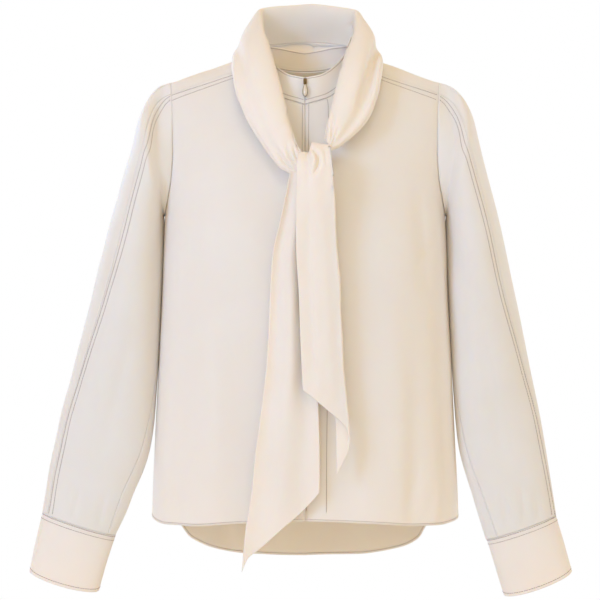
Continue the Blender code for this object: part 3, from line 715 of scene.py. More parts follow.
@dataclass
class BodyForm:
    """The surface of the blouse's body, by how far round it and how far down it a place is."""

    sections: Table = field(default_factory=lambda: Table(
        "run half_width front back",
        (0.000, 0.1880, 0.0000, 0.0000),
        (0.160, 0.1880, 0.0300, 0.0340),
        (0.265, 0.1880, 0.0500, 0.0560),
        (0.349, 0.1880, 0.0640, 0.0710),
        (0.433, 0.1875, 0.0800, 0.0850),
        (0.515, 0.1880, 0.0970, 0.0960),
        (0.600, 0.1905, 0.1120, 0.1010),
        (0.673, 0.1925, 0.1175, 0.1000),
        (0.791, 0.1975, 0.1170, 0.0980),
        (0.880, 0.2020, 0.1150, 0.1000),
        (0.970, 0.2060, 0.1130, 0.1030),
        (1.020, 0.2055, 0.1130, 0.1040),
    ))
    armhole: Table = field(default_factory=lambda: Table(
        "run front_turn back_turn",
        (0.000, 75.0, 75.0),
        (0.160, 71.5, 73.5),
        (0.280, 68.0, 71.0),
        (0.395, 67.0, 70.0),
        (0.468, 69.0, 71.5),
        (0.520, 75.5, 76.5),
        (0.545, 83.0, 83.5),
        (0.552, 90.0, 90.0),
    ))
    neckline: Table = field(default_factory=lambda: Table(
        "turn below",
        (0.0, 0.0780),
        (9.1, 0.0680),
        (18.5, 0.0430),
        (27.7, 0.0165),
    ))
    front_hem: Table = field(default_factory=lambda: Table(
        "turn height",
        (0.0, -0.5985),
        (25.0, -0.6030),
        (45.0, -0.6080),
        (60.0, -0.6080),
        (75.0, -0.6040),
        (90.0, -0.6000),
    ))
    back_hem: Table = field(default_factory=lambda: Table(
        "turn height",
        (0.0, -0.6660),
        (22.0, -0.6630),
        (38.0, -0.6530),
        (48.0, -0.6380),
        (54.0, -0.6180),
        (68.0, -0.6060),
        (90.0, -0.6010),
    ))
    front_folds: Table = field(default_factory=lambda: Table(
        "turn depth spread start full",
        (-52.0, 0.0045, 7.0, 0.30, 0.55),
        (-24.0, 0.0040, 8.0, 0.26, 0.60),
        (14.0, 0.0035, 6.0, 0.30, 0.60),
        (44.0, 0.0050, 6.0, 0.28, 0.60),
        (64.0, 0.0035, 6.0, 0.20, 0.50),
    ))
    back_folds: Table = field(default_factory=lambda: Table(
        "turn depth spread start full",
        (-40.0, 0.0080, 8.0, 0.25, 0.64),
        (-9.0, 0.0070, 7.0, 0.25, 0.64),
        (24.0, 0.0075, 8.0, 0.25, 0.64),
        (52.0, 0.0050, 7.0, 0.25, 0.60),
    ))

    def __post_init__(self) -> None:
        """Works out where the seams lie."""
        self.seam_run = -math.sqrt(SHOULDER_SEAM_BELOW / BODY_DROP)
        self.underarm_run = float(self.armhole.keys[-1])
        self.neck_share = NECK_TURN / ARM_TURN

    def folds(self, rows: Table, turn: Array, below: Array) -> Array:
        """How far the cloth dips into the lengthways folds of one panel.

        Args:
            rows: The folds of one panel.
            turn: How far round the body each point lies, in degrees.
            below: Distance below the shoulder line.

        Returns:
            The dips, in metres.
        """
        dip = np.zeros(np.broadcast(turn, below).shape)
        columns = rows.columns
        for middle, depth, spread, start, full in zip(*(columns[c] for c in columns)):
            grown = smooth_step((below - start) / (full - start))
            dip = dip + depth * grown * np.exp(-(((turn - middle) / spread) ** 2))
        return dip

    def at(self, turn: Array, run: Array) -> Array:
        """Points of the body.

        Args:
            turn: Degrees from the centre.
            run: How far down, below 0 on the front and above it on the back.

        Returns:
            The points, in the last axis.
        """
        far = np.abs(run)
        below = BODY_DROP * run * run
        angle = np.radians(turn)
        is_front = run < 0
        half = self.sections.read("half_width", far)
        depth = np.where(
            is_front, self.sections.read("front", far), self.sections.read("back", far)
        )
        square = 1 + SQUARENESS * np.sin(2 * angle) ** 2 * smooth_step(far / SQUARE_FROM_RUN)
        dip = np.where(
            is_front,
            self.folds(self.front_folds, turn, below),
            self.folds(self.back_folds, turn, below),
        )
        x = (half * square - dip) * np.sin(angle)
        y = (depth * square - dip) * np.cos(angle)
        top = CREST_HEIGHT - CREST_SLOPE * (np.hypot(x, CREST_ROUND) - CREST_HEIGHT_AT)
        z = top * (1 - smooth_step(below / CREST_FADE)) - below
        return np.stack((x, np.copysign(y, run), z), -1)

    def side_turn(self, run: Array) -> Array:
        """How far round the cloth reaches at a run, in degrees.

        Args:
            run: The way over the shoulder, negative in front and positive at the back.

        Returns:
            The angles.
        """
        far = np.abs(run)
        reach = np.where(
            run < 0, self.armhole.read("front_turn", far), self.armhole.read("back_turn", far)
        )
        return np.where(far >= self.underarm_run, 90.0, reach)

    def front(self, share: Array, way: Array) -> Array:
        """Points of the front: share from the centre to the side, way from top to hem.

        Args:
            share: Share of the way across, or round.
            way: Share of the way along.

        Returns:
            Points of the front.
        """
        far = np.abs(share)
        neck = -np.sqrt(self.neckline.read("below", far * ARM_TURN) / BODY_DROP)
        top = np.where(far >= self.neck_share, self.seam_run, neck)
        hem = -np.sqrt(-self.front_hem.read("height", far * 90) / BODY_DROP)
        run = top + (hem - top) * way
        return self.at(share * self.side_turn(run), run)

    def back(self, share: Array, way: Array) -> Array:
        """Points of the back: share from the centre to the side, way from top to hem.

        Args:
            share: Share of the way across, or round.
            way: Share of the way along.

        Returns:
            Points of the back.
        """
        far = np.abs(share)
        low = math.sqrt(BACK_NECK_BELOW / BODY_DROP)
        inside = np.minimum(far / self.neck_share, 1.0)
        neck = (low - self.seam_run) * np.sqrt(1 - inside * inside)
        hem = np.sqrt(-self.back_hem.read("height", far * 90) / BODY_DROP)
        down = np.clip(way, 0, 1)
        run = self.seam_run + (hem - self.seam_run) * way + neck * (1 - down) ** NECK_EVENS_OUT
        return self.at(share * self.side_turn(run), run)


@dataclass
class Panels:
    """The two fronts and the back."""

    form: BodyForm
    hem_turned: float = 9 * MM
    hem_thick: float = 0.45 * MM
    placket: float = 30 * MM
    creases: tuple[Crease | Ripples, ...] = (
        Ripples(height=0.55, length=110, seed=4),
        Crease(((-152, -150), (-150, -230), (-158, -330)), -3.0, 14, 9),
        Crease(((150, -140), (156, -220), (164, -330)), -2.6, 9, 14),
        Crease(((182, -228), (160, -252), (138, -280)), -0.9, 4, 7),
        Crease(((-90, -190), (-96, -330), (-104, -470)), -2.6, 26, 22),
        Crease(((-118, -330), (-122, -450), (-112, -560)), 2.2, 16, 16),
        Crease(((72, -170), (86, -300), (92, -440)), -2.4, 20, 24),
        Crease(((118, -330), (124, -450), (120, -590)), 2.2, 16, 16),
        Crease(((60, -470), (64, -540), (70, -610)), -2.0, 10, 12, 0.4),
        Crease(((150, -520), (140, -570), (136, -612)), -1.8, 7, 9, 0.4),
        Crease(((176, -540), (166, -580), (160, -612)), -1.4, 6, 7, 0.4),
        Crease(((-60, -480), (-66, -545), (-68, -612)), -1.6, 12, 10, 0.4),
        Crease(((-176, -540), (-168, -580), (-166, -612)), -1.4, 7, 6, 0.4),
    )
    back_creases: tuple[Crease | Ripples, ...] = (
        Ripples(height=0.6, length=120, seed=9),
        Crease(((-150, -150), (-148, -240), (-156, -340)), -3.0, 14, 9),
        Crease(((150, -140), (154, -230), (162, -340)), -2.8, 9, 14),
        Crease(((-70, -60), (-60, -180), (-66, -320)), -2.0, 24, 20),
        Crease(((62, -70), (72, -200), (66, -340)), -2.2, 20, 24),
        Crease(((-10, -200), (0, -360), (-6, -600)), 2.4, 26, 30),
        Crease(((-98, -560), (-96, -610), (-96, -660)), -2.5, 8, 10, 0.4),
        Crease(((-30, -580), (-28, -620), (-26, -668)), -2.2, 12, 12, 0.4),
        Crease(((36, -580), (38, -620), (40, -668)), 2.4, 12, 12, 0.4),
    )

    def hem_relief(self, length: float) -> Mould:
        """The turned hem: a doubled band that stands out a little, drawn in at its stitches.

        Args:
            length: Metres of cloth to one unit of the panel's way down.

        Returns:
            The relief that it gives the panel.
        """

        def stand(u: Array, v: Array, points: Array) -> Array:
            """How far the hem stands out."""
            up = (1 - v) * length
            band = self.hem_thick * smooth_step((self.hem_turned - up) / (1.5 * MM))
            x = points[..., 0]
            pucker = 0.5 + 0.5 * np.sin(x / (2.3 * MM) + 2 * np.sin(x / 0.031))
            pull = np.exp(-(((up - HEM_STITCH_UP) / HEM_STITCH_SPREAD) ** 2))
            return band - HEM_STITCH_DEPTH * pull * (0.5 + 0.5 * pucker)

        return stand

    def front_relief(self, side: int) -> Mould:
        """The hem, the placket's turned layer and the shoulder's felled seam.

        Args:
            side: -1 for the wearer's right, 1 for the left.

        Returns:
            The relief.
        """
        hem = self.hem_relief(FRONT_HEM_RATE)

        def stand(u: Array, v: Array, points: Array) -> Array:
            """How far the front stands out."""
            x = np.abs(points[..., 0])
            total = hem(u, v, points)
            if side > 0:
                total = total + PLACKET_STANDS * smooth_step((self.placket - x) / (1.6 * MM))
            total = total - PLACKET_DIP * np.exp(-(((x - 4 * MM) / (1.5 * MM)) ** 2))
            top = v * CENTRE_FRONT_LENGTH
            is_shoulder = np.abs(u) > self.form.neck_share
            felled = FELLED_STANDS * smooth_step((FELLED_WIDTH - top) / (1.5 * MM))
            felled = felled * smooth_step(top / (3.0 * MM))
            return total + np.where(is_shoulder, felled, 0.0)

        return stand

    def pieces(self) -> list[ClothPiece]:
        """The fronts and the back, ready to build."""
        made = []
        edge = SEAM_GAP / 2 / PANEL_WIDTH
        slit = ZIP_SLIT / 2 / PANEL_WIDTH
        neck = self.form.neck_share
        for side, word in ((-1, "right"), (1, "left")):
            shares = np.concatenate((places(slit, neck, 26), places(neck, 1 - edge, 44)[1:]))
            shares = np.sort(side * shares)
            made.append(ClothPiece(
                f"crepe_front_{word}", self.form.front, shares, places(0, 1, 190), CREPE_THICK,
                self.creases, extra=self.front_relief(side), edge_fade=self.fades(side),
                rounds_body=True,
            ))
        half = np.concatenate((
            neck * np.sin(np.linspace(0, math.pi / 2, 25)), places(neck, 1 - edge, 40)[1:]
        ))
        shares = np.concatenate((-half[::-1], half[1:]))
        rows = places(0, 1, 210)
        rows[0] += SEAM_GAP / BACK_LENGTH
        made.append(ClothPiece(
            "crepe_back", lambda u, v: self.form.back(-u, v), shares, rows, CREPE_THICK,
            self.back_creases, extra=self.hem_relief(BACK_HEM_RATE),
            edge_fade=(0.10, 0.10, 0.04, 0.0), rounds_body=True,
        ))
        return made

    def fades(self, side: int) -> tuple[float, float, float, float]:
        """How near its edges a front's creases fade, so that the seams stay closed.

        Args:
            side: -1 for the wearer's right, 1 for the left.

        Returns:
            The fades, one for each edge.
        """
        outer = 0.10
        centre = 0.02
        return (outer, centre, 0.03, 0.0) if side < 0 else (centre, outer, 0.03, 0.0)


@dataclass
class SleeveForm:
    """One sleeve and its cuff, by sections that slant with the arm."""

    side: int
    body: BodyForm
    rows: Table
    cuff: Table
    cap_fullness: float = 1.1
    cap_gap: float = 0.08 * MM
    cap_stands: float = 0.55 * MM

    def section(self, rows: Table, row: Array, degrees: Array) -> Array:
        """Points of a section, by the angle from its outer side over the front.

        Args:
            rows: The sleeve's table.
            row: Place along the sleeve, in rows of its tables.
            degrees: Angle from the outer side over the front.

        Returns:
            Points of the section.
        """
        c, s = np.cos(np.radians(degrees)), np.sin(np.radians(degrees))
        outer_x, outer_z = rows.read("outer_x", row), rows.read("outer_z", row)
        inner_x, inner_z = rows.read("inner_x", row), rows.read("inner_z", row)
        depth = rows.read("depth", row)
        x = (outer_x + inner_x) / 2 + (outer_x - inner_x) / 2 * c
        z = (outer_z + inner_z) / 2 + (outer_z - inner_z) / 2 * c
        y = -rows.read("forward", row) - depth * s
        return np.stack((self.side * x, y, z - rows.read("dip", row) * depth * s), -1)

    def start(self, front: bool, share: Array) -> tuple[Array, Array]:
        """The sleeve's edge beside the armhole, and the direction in which it leaves it.

        Args:
            front: Whether it is the sleeve's front piece.
            share: Share of the way across, or round.

        Returns:
            Points of the edge, and the directions.
        """
        body, side = self.body, self.side
        end = -body.underarm_run if front else body.underarm_run
        run = body.seam_run + (end - body.seam_run) * share
        step = 1e-4

        def edge(at: Array) -> Array:
            """The edge's points."""
            return body.at(side * body.side_turn(at), at)

        turn = body.side_turn(run)
        along = unit(edge(run + step) - edge(run - step)) * (-1 if front else 1)
        over = body.at(side * turn + 0.01, run) - body.at(side * turn - 0.01, run)
        down = body.at(side * turn, run + step) - body.at(side * turn, run - step)
        normal = unit(np.cross(over, down))
        away = unit(np.cross(along, normal)) * (-side if front else side)
        low = smooth_step((share - 0.70) / 0.30)[..., None]
        begin = edge(run) + self.cap_gap * away + self.cap_stands * low * normal
        lift = smooth_step(share / 0.9)[..., None]
        return begin, unit((1 - lift) * away + lift * normal)

    def lower(self, front: bool, share: Array, row: Array) -> Array:
        """The sleeve below its cap.

        Args:
            front: Whether it is the sleeve's front piece.
            share: Share of the way across, or round.
            row: Place along the sleeve, in rows of its tables.

        Returns:
            Points of the sleeve.
        """
        seam = self.rows.read("seam", row)
        under = self.rows.read("under", row) - (0 if front else 360)
        return self.section(self.rows, row, seam + (under - seam) * share)

    def at(self, front: bool, share: Array, row: Array) -> Array:
        """Points of the sleeve.

        Args:
            front: Whether it is the front piece.
            share: From the outer seam to the underarm seam.
            row: The section, from -1 at the armhole to 6 at the cuff.

        Returns:
            The points, in the last axis.
        """
        share, row = np.broadcast_arrays(share, row)
        begin, leaves = self.start(front, np.clip(share, 0, 1))
        zero = np.zeros_like(row)
        cap = self.lower(front, share, zero)
        arrives = unit(self.lower(front, share, zero + 0.02) - cap)
        pull = self.cap_fullness * np.linalg.norm(cap - begin, axis=-1, keepdims=True)
        t = np.clip(row + 1, 0, 1)[..., None]
        upper = (
            (1 + 2 * t) * (1 - t) ** 2 * begin + t * (1 - t) ** 2 * pull * leaves
            + t * t * (3 - 2 * t) * cap + t * t * (t - 1) * pull * arrives
        )
        return np.where((row >= 0)[..., None], self.lower(front, share, np.maximum(row, 0)), upper)


SLEEVE_COLUMNS = "row outer_x outer_z inner_x inner_z depth forward dip seam under"
CUFF_COLUMNS = "row outer_x outer_z inner_x inner_z depth forward dip"


@dataclass
class Sleeve:
    """A sleeve in two pieces, and its cuff."""

    word: str
    form: SleeveForm
    creases: tuple[Crease | Ripples, ...]
    cuff_creases: tuple[Crease | Ripples, ...]
    width: float = 0.09
    row_length: float = 0.055
    cuff_height: float = 0.073

    def felled(self, share_length: float) -> Mould:
        """The doubled layers beside the outer seam, fading out at the seam itself.

        Args:
            share_length: Metres of cloth to one unit across the piece.

        Returns:
            The relief.
        """

        def stand(u: Array, v: Array, points: Array) -> Array:
            """How far the layers stand out."""
            off = self.off_seam(u) * share_length
            layer = FELLED_STANDS * smooth_step((FELLED_WIDTH - off) / (1.5 * MM))
            return layer * smooth_step(off / (3.0 * MM))

        return stand

    def turned(self, front: bool) -> bool:
        """Whether the piece's left edge, seen from outside, is its underarm seam."""
        return (self.form.side < 0) != front

    def off_seam(self, u: Array) -> Array:
        """The share from the outer seam at a place across the front piece."""
        return 1 - u if self.turned(True) else u

    def pieces(self) -> list[ClothPiece]:
        """The two pieces of the sleeve, ready to build."""
        made = []
        for front in (True, False):
            turned = self.turned(front)
            edge = SEAM_GAP / 2 / self.width
            shares = places(edge, 1 - edge, 56 if front else 84)
            if turned:
                shares = 1 - shares[::-1]

            def surface(u: Array, v: Array, front: bool = front, turned: bool = turned) -> Array:
                """One piece's points."""
                return self.form.at(front, 1 - u if turned else u, v)

            last = 6 - 0.5 * SEAM_GAP / self.row_length
            rows = np.concatenate((places(-1, 0, 34), places(0, last, 132)[1:]))
            made.append(ClothPiece(
                f"crepe_sleeve_{self.word}_{'front' if front else 'back'}", surface, shares, rows,
                CREPE_THICK, self.creases, extra=self.felled(0.11) if front else None,
                edge_fade=(*((0.22, 0.06) if turned else (0.06, 0.22)), 0.25, 0.0),
            ))
        return made

    def cuff_piece(self) -> ClothPiece:
        """The cuff, a turned band with no opening."""

        def ring(u: Array, v: Array) -> Array:
            """The cuff's points."""
            return self.form.section(self.form.cuff, v, -self.form.side * 360 * u)

        return ClothPiece(
            f"crepe_cuff_{self.word}", ring, places(0, 1, 120),
            places(SEAM_GAP / self.cuff_height, 2, 44), CUFF_THICK, self.cuff_creases, tube=True,
        )


RIGHT_SLEEVE = Table(
    SLEEVE_COLUMNS,
    (0, 0.2260, -0.0760, 0.1896, -0.2070, 0.0600, 0.000, 0.00, 60, 180),
    (1, 0.2620, -0.2050, 0.1903, -0.2400, 0.0610, 0.002, 0.00, 62, 180),
    (2, 0.2840, -0.2900, 0.1929, -0.3150, 0.0560, 0.005, 0.04, 54, 178),
    (3, 0.3075, -0.3850, 0.1982, -0.4150, 0.0450, 0.010, 0.08, 40, 166),
    (4, 0.3290, -0.4700, 0.2065, -0.5050, 0.0330, 0.018, 0.10, 32, 147),
    (5, 0.3435, -0.5450, 0.2305, -0.5720, 0.0270, 0.027, 0.12, 31, 139),
    (6, 0.3504, -0.5936, 0.2531, -0.6246, 0.0212, 0.033, 0.10, 31, 143),
)
LEFT_SLEEVE = Table(
    SLEEVE_COLUMNS,
    (0, 0.2295, -0.0760, 0.1896, -0.2070, 0.0600, 0.000, 0.00, 60, 180),
    (1, 0.2620, -0.2050, 0.1903, -0.2400, 0.0610, 0.002, 0.00, 56, 180),
    (2, 0.2810, -0.2950, 0.1931, -0.3200, 0.0560, 0.005, 0.04, 50, 178),
    (3, 0.2995, -0.3850, 0.1982, -0.4150, 0.0450, 0.010, 0.08, 37, 166),
    (4, 0.3155, -0.4700, 0.2060, -0.5050, 0.0330, 0.018, 0.10, 23, 148),
    (5, 0.3280, -0.5430, 0.2245, -0.5750, 0.0270, 0.027, 0.12, 18, 139),
    (6, 0.3349, -0.5971, 0.2425, -0.6296, 0.0212, 0.033, 0.10, 13, 135),
)
RIGHT_CUFF = Table(
    CUFF_COLUMNS,
    (0, 0.3504, -0.5936, 0.2531, -0.6246, 0.0212, 0.033, 0.10),
    (1, 0.3595, -0.6350, 0.2650, -0.6630, 0.0215, 0.041, 0.24),
    (2, 0.3665, -0.6700, 0.2735, -0.6960, 0.0215, 0.048, 0.32),
)
LEFT_CUFF = Table(
    CUFF_COLUMNS,
    (0, 0.3349, -0.5971, 0.2425, -0.6296, 0.0212, 0.033, 0.10),
    (1, 0.3460, -0.6360, 0.2545, -0.6690, 0.0215, 0.041, 0.24),
    (2, 0.3550, -0.6700, 0.2640, -0.7020, 0.0215, 0.048, 0.32),
)


@dataclass
class Collar:
    """The stand collar, open at the centre front."""

    body: BodyForm
    half_width: float = 0.060
    front_depth: float = 0.058
    back_depth: float = 0.050
    side_turn: float = 80.0
    rise: float = 0.034
    half_length: float = 0.180
    lean: float = 0.3
    gap: float = 0.2 * MM
    top: Table = field(default_factory=lambda: Table(
        "around height",
        (0, -0.0155),
        (20, -0.0110),
        (42, 0.0025),
        (65, 0.0210),
        (90, 0.0340),
        (130, 0.0350),
        (180, 0.0285),
    ))

    def foot(self, share: Array) -> Array:
        """The edge of the neck hole, from -1 at the centre front round the back to 1.

        Args:
            share: Share of the way across, or round.

        Returns:
            Points of the edge.
        """
        side, far = np.copysign(1, share), np.abs(share)
        neck = self.body.neck_share
        fronts = self.body.front(side * neck * (1 - np.clip(far, 0.5, 1)) / 0.5, np.zeros_like(far))
        backs = self.body.back(
            side * neck * np.sin(math.pi * np.clip(far, 0, 0.5)), np.zeros_like(far)
        )
        return np.where((far >= 0.5)[..., None], fronts, backs)

    def head(self, share: Array) -> Array:
        """The collar's top edge.

        Args:
            share: Share of the way across, or round.

        Returns:
            Points of the edge.
        """
        far = np.abs(share)
        lower = self.side_turn * (1 - far) / 0.5
        upper = self.side_turn + (180 - self.side_turn) * (0.5 - far) / 0.5
        around = np.where(far >= 0.5, lower, upper)
        angle = np.radians(around)
        deep = np.where(around < 90, self.front_depth, self.back_depth)
        x = np.copysign(self.half_width * np.sin(angle), share)
        return np.stack((x, -deep * np.cos(angle), self.top.read("height", around)), -1)

    def at(self, share: Array, up: Array) -> Array:
        """Points of the collar from its seam, up 0, to its top edge, up 1.

        Args:
            share: Share of the way across, or round.
            up: Share from the seam to the top edge.

        Returns:
            Points of the surface.
        """
        share, up = np.broadcast_arrays(share, up)
        foot, head = self.foot(share), self.head(share)
        foot = foot + self.gap * unit(head - foot)
        lean = up * (1 + self.lean * (1 - up))
        return np.stack((
            foot[..., 0] + (head[..., 0] - foot[..., 0]) * lean,
            foot[..., 1] + (head[..., 1] - foot[..., 1]) * lean,
            foot[..., 2] + (head[..., 2] - foot[..., 2]) * up,
        ), -1)

    def piece(self) -> ClothPiece:
        """The collar, ready to build."""
        slit = ZIP_SLIT / 2 / self.half_length

        def relief(u: Array, v: Array, points: Array) -> Array:
            """How far the collar stands out."""
            down = v * self.rise
            edge = 0.25 * MM * np.exp(-(((down - 2.2 * MM) / (1.2 * MM)) ** 2))
            seam = 0.25 * MM * np.exp(-(((self.rise - down - 5.8 * MM) / (1.2 * MM)) ** 2))
            return -edge - seam

        return ClothPiece(
            "crepe_collar", lambda u, v: self.at(-u, 1 - v), places(-1 + slit, 1 - slit, 240),
            places(0, 1, 26), CREPE_THICK, (Ripples(height=0.25, length=50, seed=3),),
            extra=relief,
        )


SCARF = Table(
    "way upper_x upper_y upper_z lower_x lower_y lower_z bulge tuck groove",
    (0, -0.0010, -0.1210, -0.1250, -0.0110, -0.1190, -0.1500, 0.0050, 80, 0.0000),
    (1, -0.0125, -0.1150, -0.1070, -0.0290, -0.1120, -0.1410, 0.0080, 90, 0.0015),
    (2, -0.0200, -0.1020, -0.0820, -0.0580, -0.0980, -0.1060, 0.0120, 105, 0.0025),
    (3, -0.0270, -0.0860, -0.0480, -0.0810, -0.0850, -0.0640, 0.0140, 108, 0.0030),
    (4, -0.0380, -0.0680, -0.0050, -0.0950, -0.0620, -0.0225, 0.0150, 108, 0.0035),
    (5, -0.0480, -0.0420, 0.0300, -0.0970, -0.0300, 0.0055, 0.0140, 108, 0.0030),
    (6, -0.0580, -0.0060, 0.0640, -0.0930, 0.0060, 0.0157, 0.0120, 108, 0.0020),
    (7, -0.0600, 0.0340, 0.0860, -0.0770, 0.0500, 0.0244, 0.0100, 108, 0.0010),
    (8, 0.0040, 0.0600, 0.0960, 0.0040, 0.0760, 0.0340, 0.0080, 108, 0.0000),
    (9, 0.0700, 0.0340, 0.0840, 0.0840, 0.0500, 0.0235, 0.0100, 108, 0.0010),
    (10, 0.0700, -0.0050, 0.0620, 0.0970, 0.0060, 0.0151, 0.0130, 105, 0.0040),
    (11, 0.0570, -0.0420, 0.0250, 0.1030, -0.0330, 0.0010, 0.0160, 102, 0.0075),
    (12, 0.0470, -0.0680, -0.0080, 0.0990, -0.0630, -0.0291, 0.0160, 104, 0.0080),
    (13, 0.0370, -0.0880, -0.0480, 0.0860, -0.0850, -0.0680, 0.0140, 106, 0.0060),
    (14, 0.0289, -0.1030, -0.0840, 0.0579, -0.1010, -0.1010, 0.0100, 100, 0.0030),
    (15, 0.0264, -0.1135, -0.1040, 0.0329, -0.1130, -0.1180, 0.0050, 80, 0.0010),
)


@dataclass
class Scarf:
    """The tie round the neck, from the knot up the right, behind the neck and down the left."""

    rows: Table = field(default_factory=lambda: SCARF)
    splits: tuple[float, float] = (6.4, 9.6)
    row_length: float = 0.040
    half_width: float = 0.030
    groove_at: float = 0.24
    groove_spread: float = 0.17
    lower_tuck: Table = field(default_factory=lambda: Table(
        "way more", (0, 0), (5, 0), (6.6, 22), (7.2, 34), (8.8, 34), (9.6, 20), (11, 0), (15, 0)
    ))
    inner_layer: Table = field(default_factory=lambda: Table(
        "way grown", (0, 0.02), (5.2, 0.02), (6.3, 1), (9.7, 1), (10.6, 0.02), (15, 0.02)
    ))
    inner_reach: float = 0.98
    strip_share: float = 0.6
    strip_hangs: Table = field(default_factory=lambda: Table(
        "way length", (0, 0), (6.6, 0.001), (7.0, 0.014), (7.5, 0.032), (8.0, 0.040),
        (8.5, 0.032), (9.0, 0.014), (9.4, 0.001), (15, 0),
    ))
    strip_recess: float = 0.0022
    right_creases: tuple[Crease, ...] = (
        Crease(((30, 26), (80, 20), (150, 14), (215, 6)), -2.0, 4, 8),
        Crease(((2, 14), (26, 13), (70, 4)), -3.4, 2.5, 4, 0.35),
        Crease(((0, 3), (24, 1), (60, -10)), -3.0, 2.5, 4, 0.35),
        Crease(((0, -8), (20, -10), (44, -20)), -2.2, 2.5, 3.5, 0.35),
    )
    behind_creases: tuple[Crease, ...] = (
        Crease(((323, -60.5), (325, -66), (323, -74)), -1.6, 1.2, 1.6, 0.3),
        Crease(((343, -48), (352, -44), (362, -41)), -1.5, 1.6, 3.0, 0.4),
        Crease(((262, -50), (290, -56), (318, -57)), 0.9, 5, 3, 0.4),
    )
    left_creases: tuple[Crease, ...] = (
        Crease(((392, 6), (440, 7), (490, 8), (540, 6)), -5.0, 3, 7),
        Crease(((600, -4), (565, -14), (530, -20)), -3.4, 3, 4, 0.35),
        Crease(((600, 4), (575, -2), (548, -6)), -2.0, 3, 3, 0.35),
    )

    def plane(self, u: Array, v: Array, points: Array) -> Array:
        """Millimetres along the tie from the knot, and across its roll towards the lower edge."""
        return np.stack((-u * self.row_length / MM, v * self.half_width / MM), -1)

    def edges(self, way: Array) -> tuple[Array, Array]:
        """The two edges that show."""
        return self.rows.point("upper_", way), self.rows.point("lower_", way)

    def at(self, across: Array, way: Array) -> Array:
        """Points of the roll: across from -1 at the upper edge to 1 at the lower edge.

        Below -1 it goes on over the top and down the side that faces the neck.

        Args:
            across: Place across the strip.
            way: Share of the way along.

        Returns:
            Points of the surface.
        """
        upper, lower = self.edges(way)
        before, after = self.edges(way - 0.02), self.edges(way + 0.02)
        tangent = (after[0] + after[1] - before[0] - before[1]) / 2
        out = unit(np.cross(upper - lower, tangent))
        more = np.where(across > 0, self.lower_tuck.read("more", way), 0.0)
        grown = self.inner_layer.read("grown", way)
        inner = np.clip(-1 - across, 0, self.inner_reach) * grown
        strip = np.maximum(-1 - self.inner_reach - across, 0) * grown
        angle = np.radians(self.rows.read("tuck", way) + more) * (np.maximum(across, -1) - inner)
        groove = self.rows.read("groove", way)
        dent = groove * np.exp(-(((across - self.groove_at) / self.groove_spread) ** 2))
        stand = self.rows.read("bulge", way) * np.cos(angle) - dent
        stand = stand + self.strip_recess * smooth_step(strip / 0.08)
        middle = (upper + lower) / 2
        hung = np.zeros_like(middle)
        hung[..., 2] = -strip * self.strip_hangs.read("length", way)
        return middle + (lower - upper) / 2 * np.sin(angle)[..., None] + out * stand[..., None] + hung

    def pieces(self) -> list[ClothPiece]:
        """The three stretches, ready to build."""
        gap = SEAM_GAP / 2 / self.row_length
        first, second = self.splits
        stretches = (
            ("crepe_tie_right", 0.0, first - gap, 150, self.right_creases),
            ("crepe_tie_behind", first + gap, second - gap, 90, self.behind_creases),
            ("crepe_tie_left", second + gap, 15.0, 140, self.left_creases),
        )
        inner = -1 - self.inner_reach * np.linspace(1, 1 / 30, 30)
        strip = inner[0] - self.strip_share * np.linspace(1, 1 / 22, 22) ** 1.5
        across = np.concatenate((strip, inner, places(-1, 1, 56)))
        return [
            ClothPiece(
                name, lambda u, v: self.at(v, -u), places(-end, -start, count), across,
                TIE_THICK, (*creases, Ripples(height=0.35, length=45, seed=8)), plane=self.plane,
            )
            for name, start, end, count, creases in stretches
        ]


WRAP = Table(
    "way x y z half bow groove drop",
    (0, 0.0140, -0.0971, -0.1600, 0.0170, 0.0020, 0.0000, 0.000),
    (1, 0.0130, -0.0987, -0.1360, 0.0180, 0.0020, 0.0000, 0.003),
    (2, 0.0125, -0.1100, -0.1130, 0.0180, 0.0020, 0.0015, 0.010),
    (3, 0.0115, -0.1280, -0.1090, 0.0195, 0.0025, 0.0030, 0.010),
    (4, 0.0110, -0.1425, -0.1250, 0.0215, 0.0030, 0.0030, 0.007),
    (5, 0.0125, -0.1460, -0.1540, 0.0235, 0.0030, 0.0012, 0.002),
    (6, 0.0125, -0.1450, -0.1820, 0.0242, 0.0030, 0.0000, 0.000),
    (7, 0.0134, -0.1435, -0.2400, 0.0252, 0.0030, 0.0000, 0.000),
    (8, 0.0175, -0.1420, -0.2980, 0.0260, 0.0030, 0.0000, 0.000),
    (9, 0.0202, -0.1415, -0.3720, 0.0260, 0.0030, 0.0000, 0.000),
    (10, 0.0236, -0.1410, -0.4270, 0.0268, 0.0030, 0.0000, 0.000),
    (11, 0.0270, -0.1405, -0.4800, 0.0280, 0.0025, 0.0000, 0.000),
    (12, 0.0280, -0.1405, -0.5400, 0.0280, 0.0025, 0.0000, 0.000),
)
TOP_TAIL_END = Table(
    "across height",
    (-1.00, -0.4265),
    (-0.37, -0.4405),
    (0.15, -0.4535),
    (0.57, -0.4640),
    (0.93, -0.4760),
    (1.08, -0.4900),
    (1.25, -0.5080),
    (1.60, -0.5370),
)
UNDER_TAIL = Table(
    "way x y z half waves",
    (0, -0.0050, -0.1340, -0.1440, 0.0140, 0.0010),
    (1, -0.0100, -0.1312, -0.2070, 0.0215, 0.0030),
    (2, -0.0155, -0.1310, -0.2590, 0.0270, 0.0040),
    (3, -0.0165, -0.1335, -0.3710, 0.0315, 0.0040),
    (4, -0.0195, -0.1330, -0.4440, 0.0360, 0.0035),
    (5, -0.0230, -0.1315, -0.5116, 0.0415, 0.0030),
    (6, -0.0255, -0.1300, -0.5600, 0.0440, 0.0025),
    (7, -0.0305, -0.1290, -0.6120, 0.0470, 0.0020),
    (8, -0.0340, -0.1280, -0.6640, 0.0480, 0.0020),
)
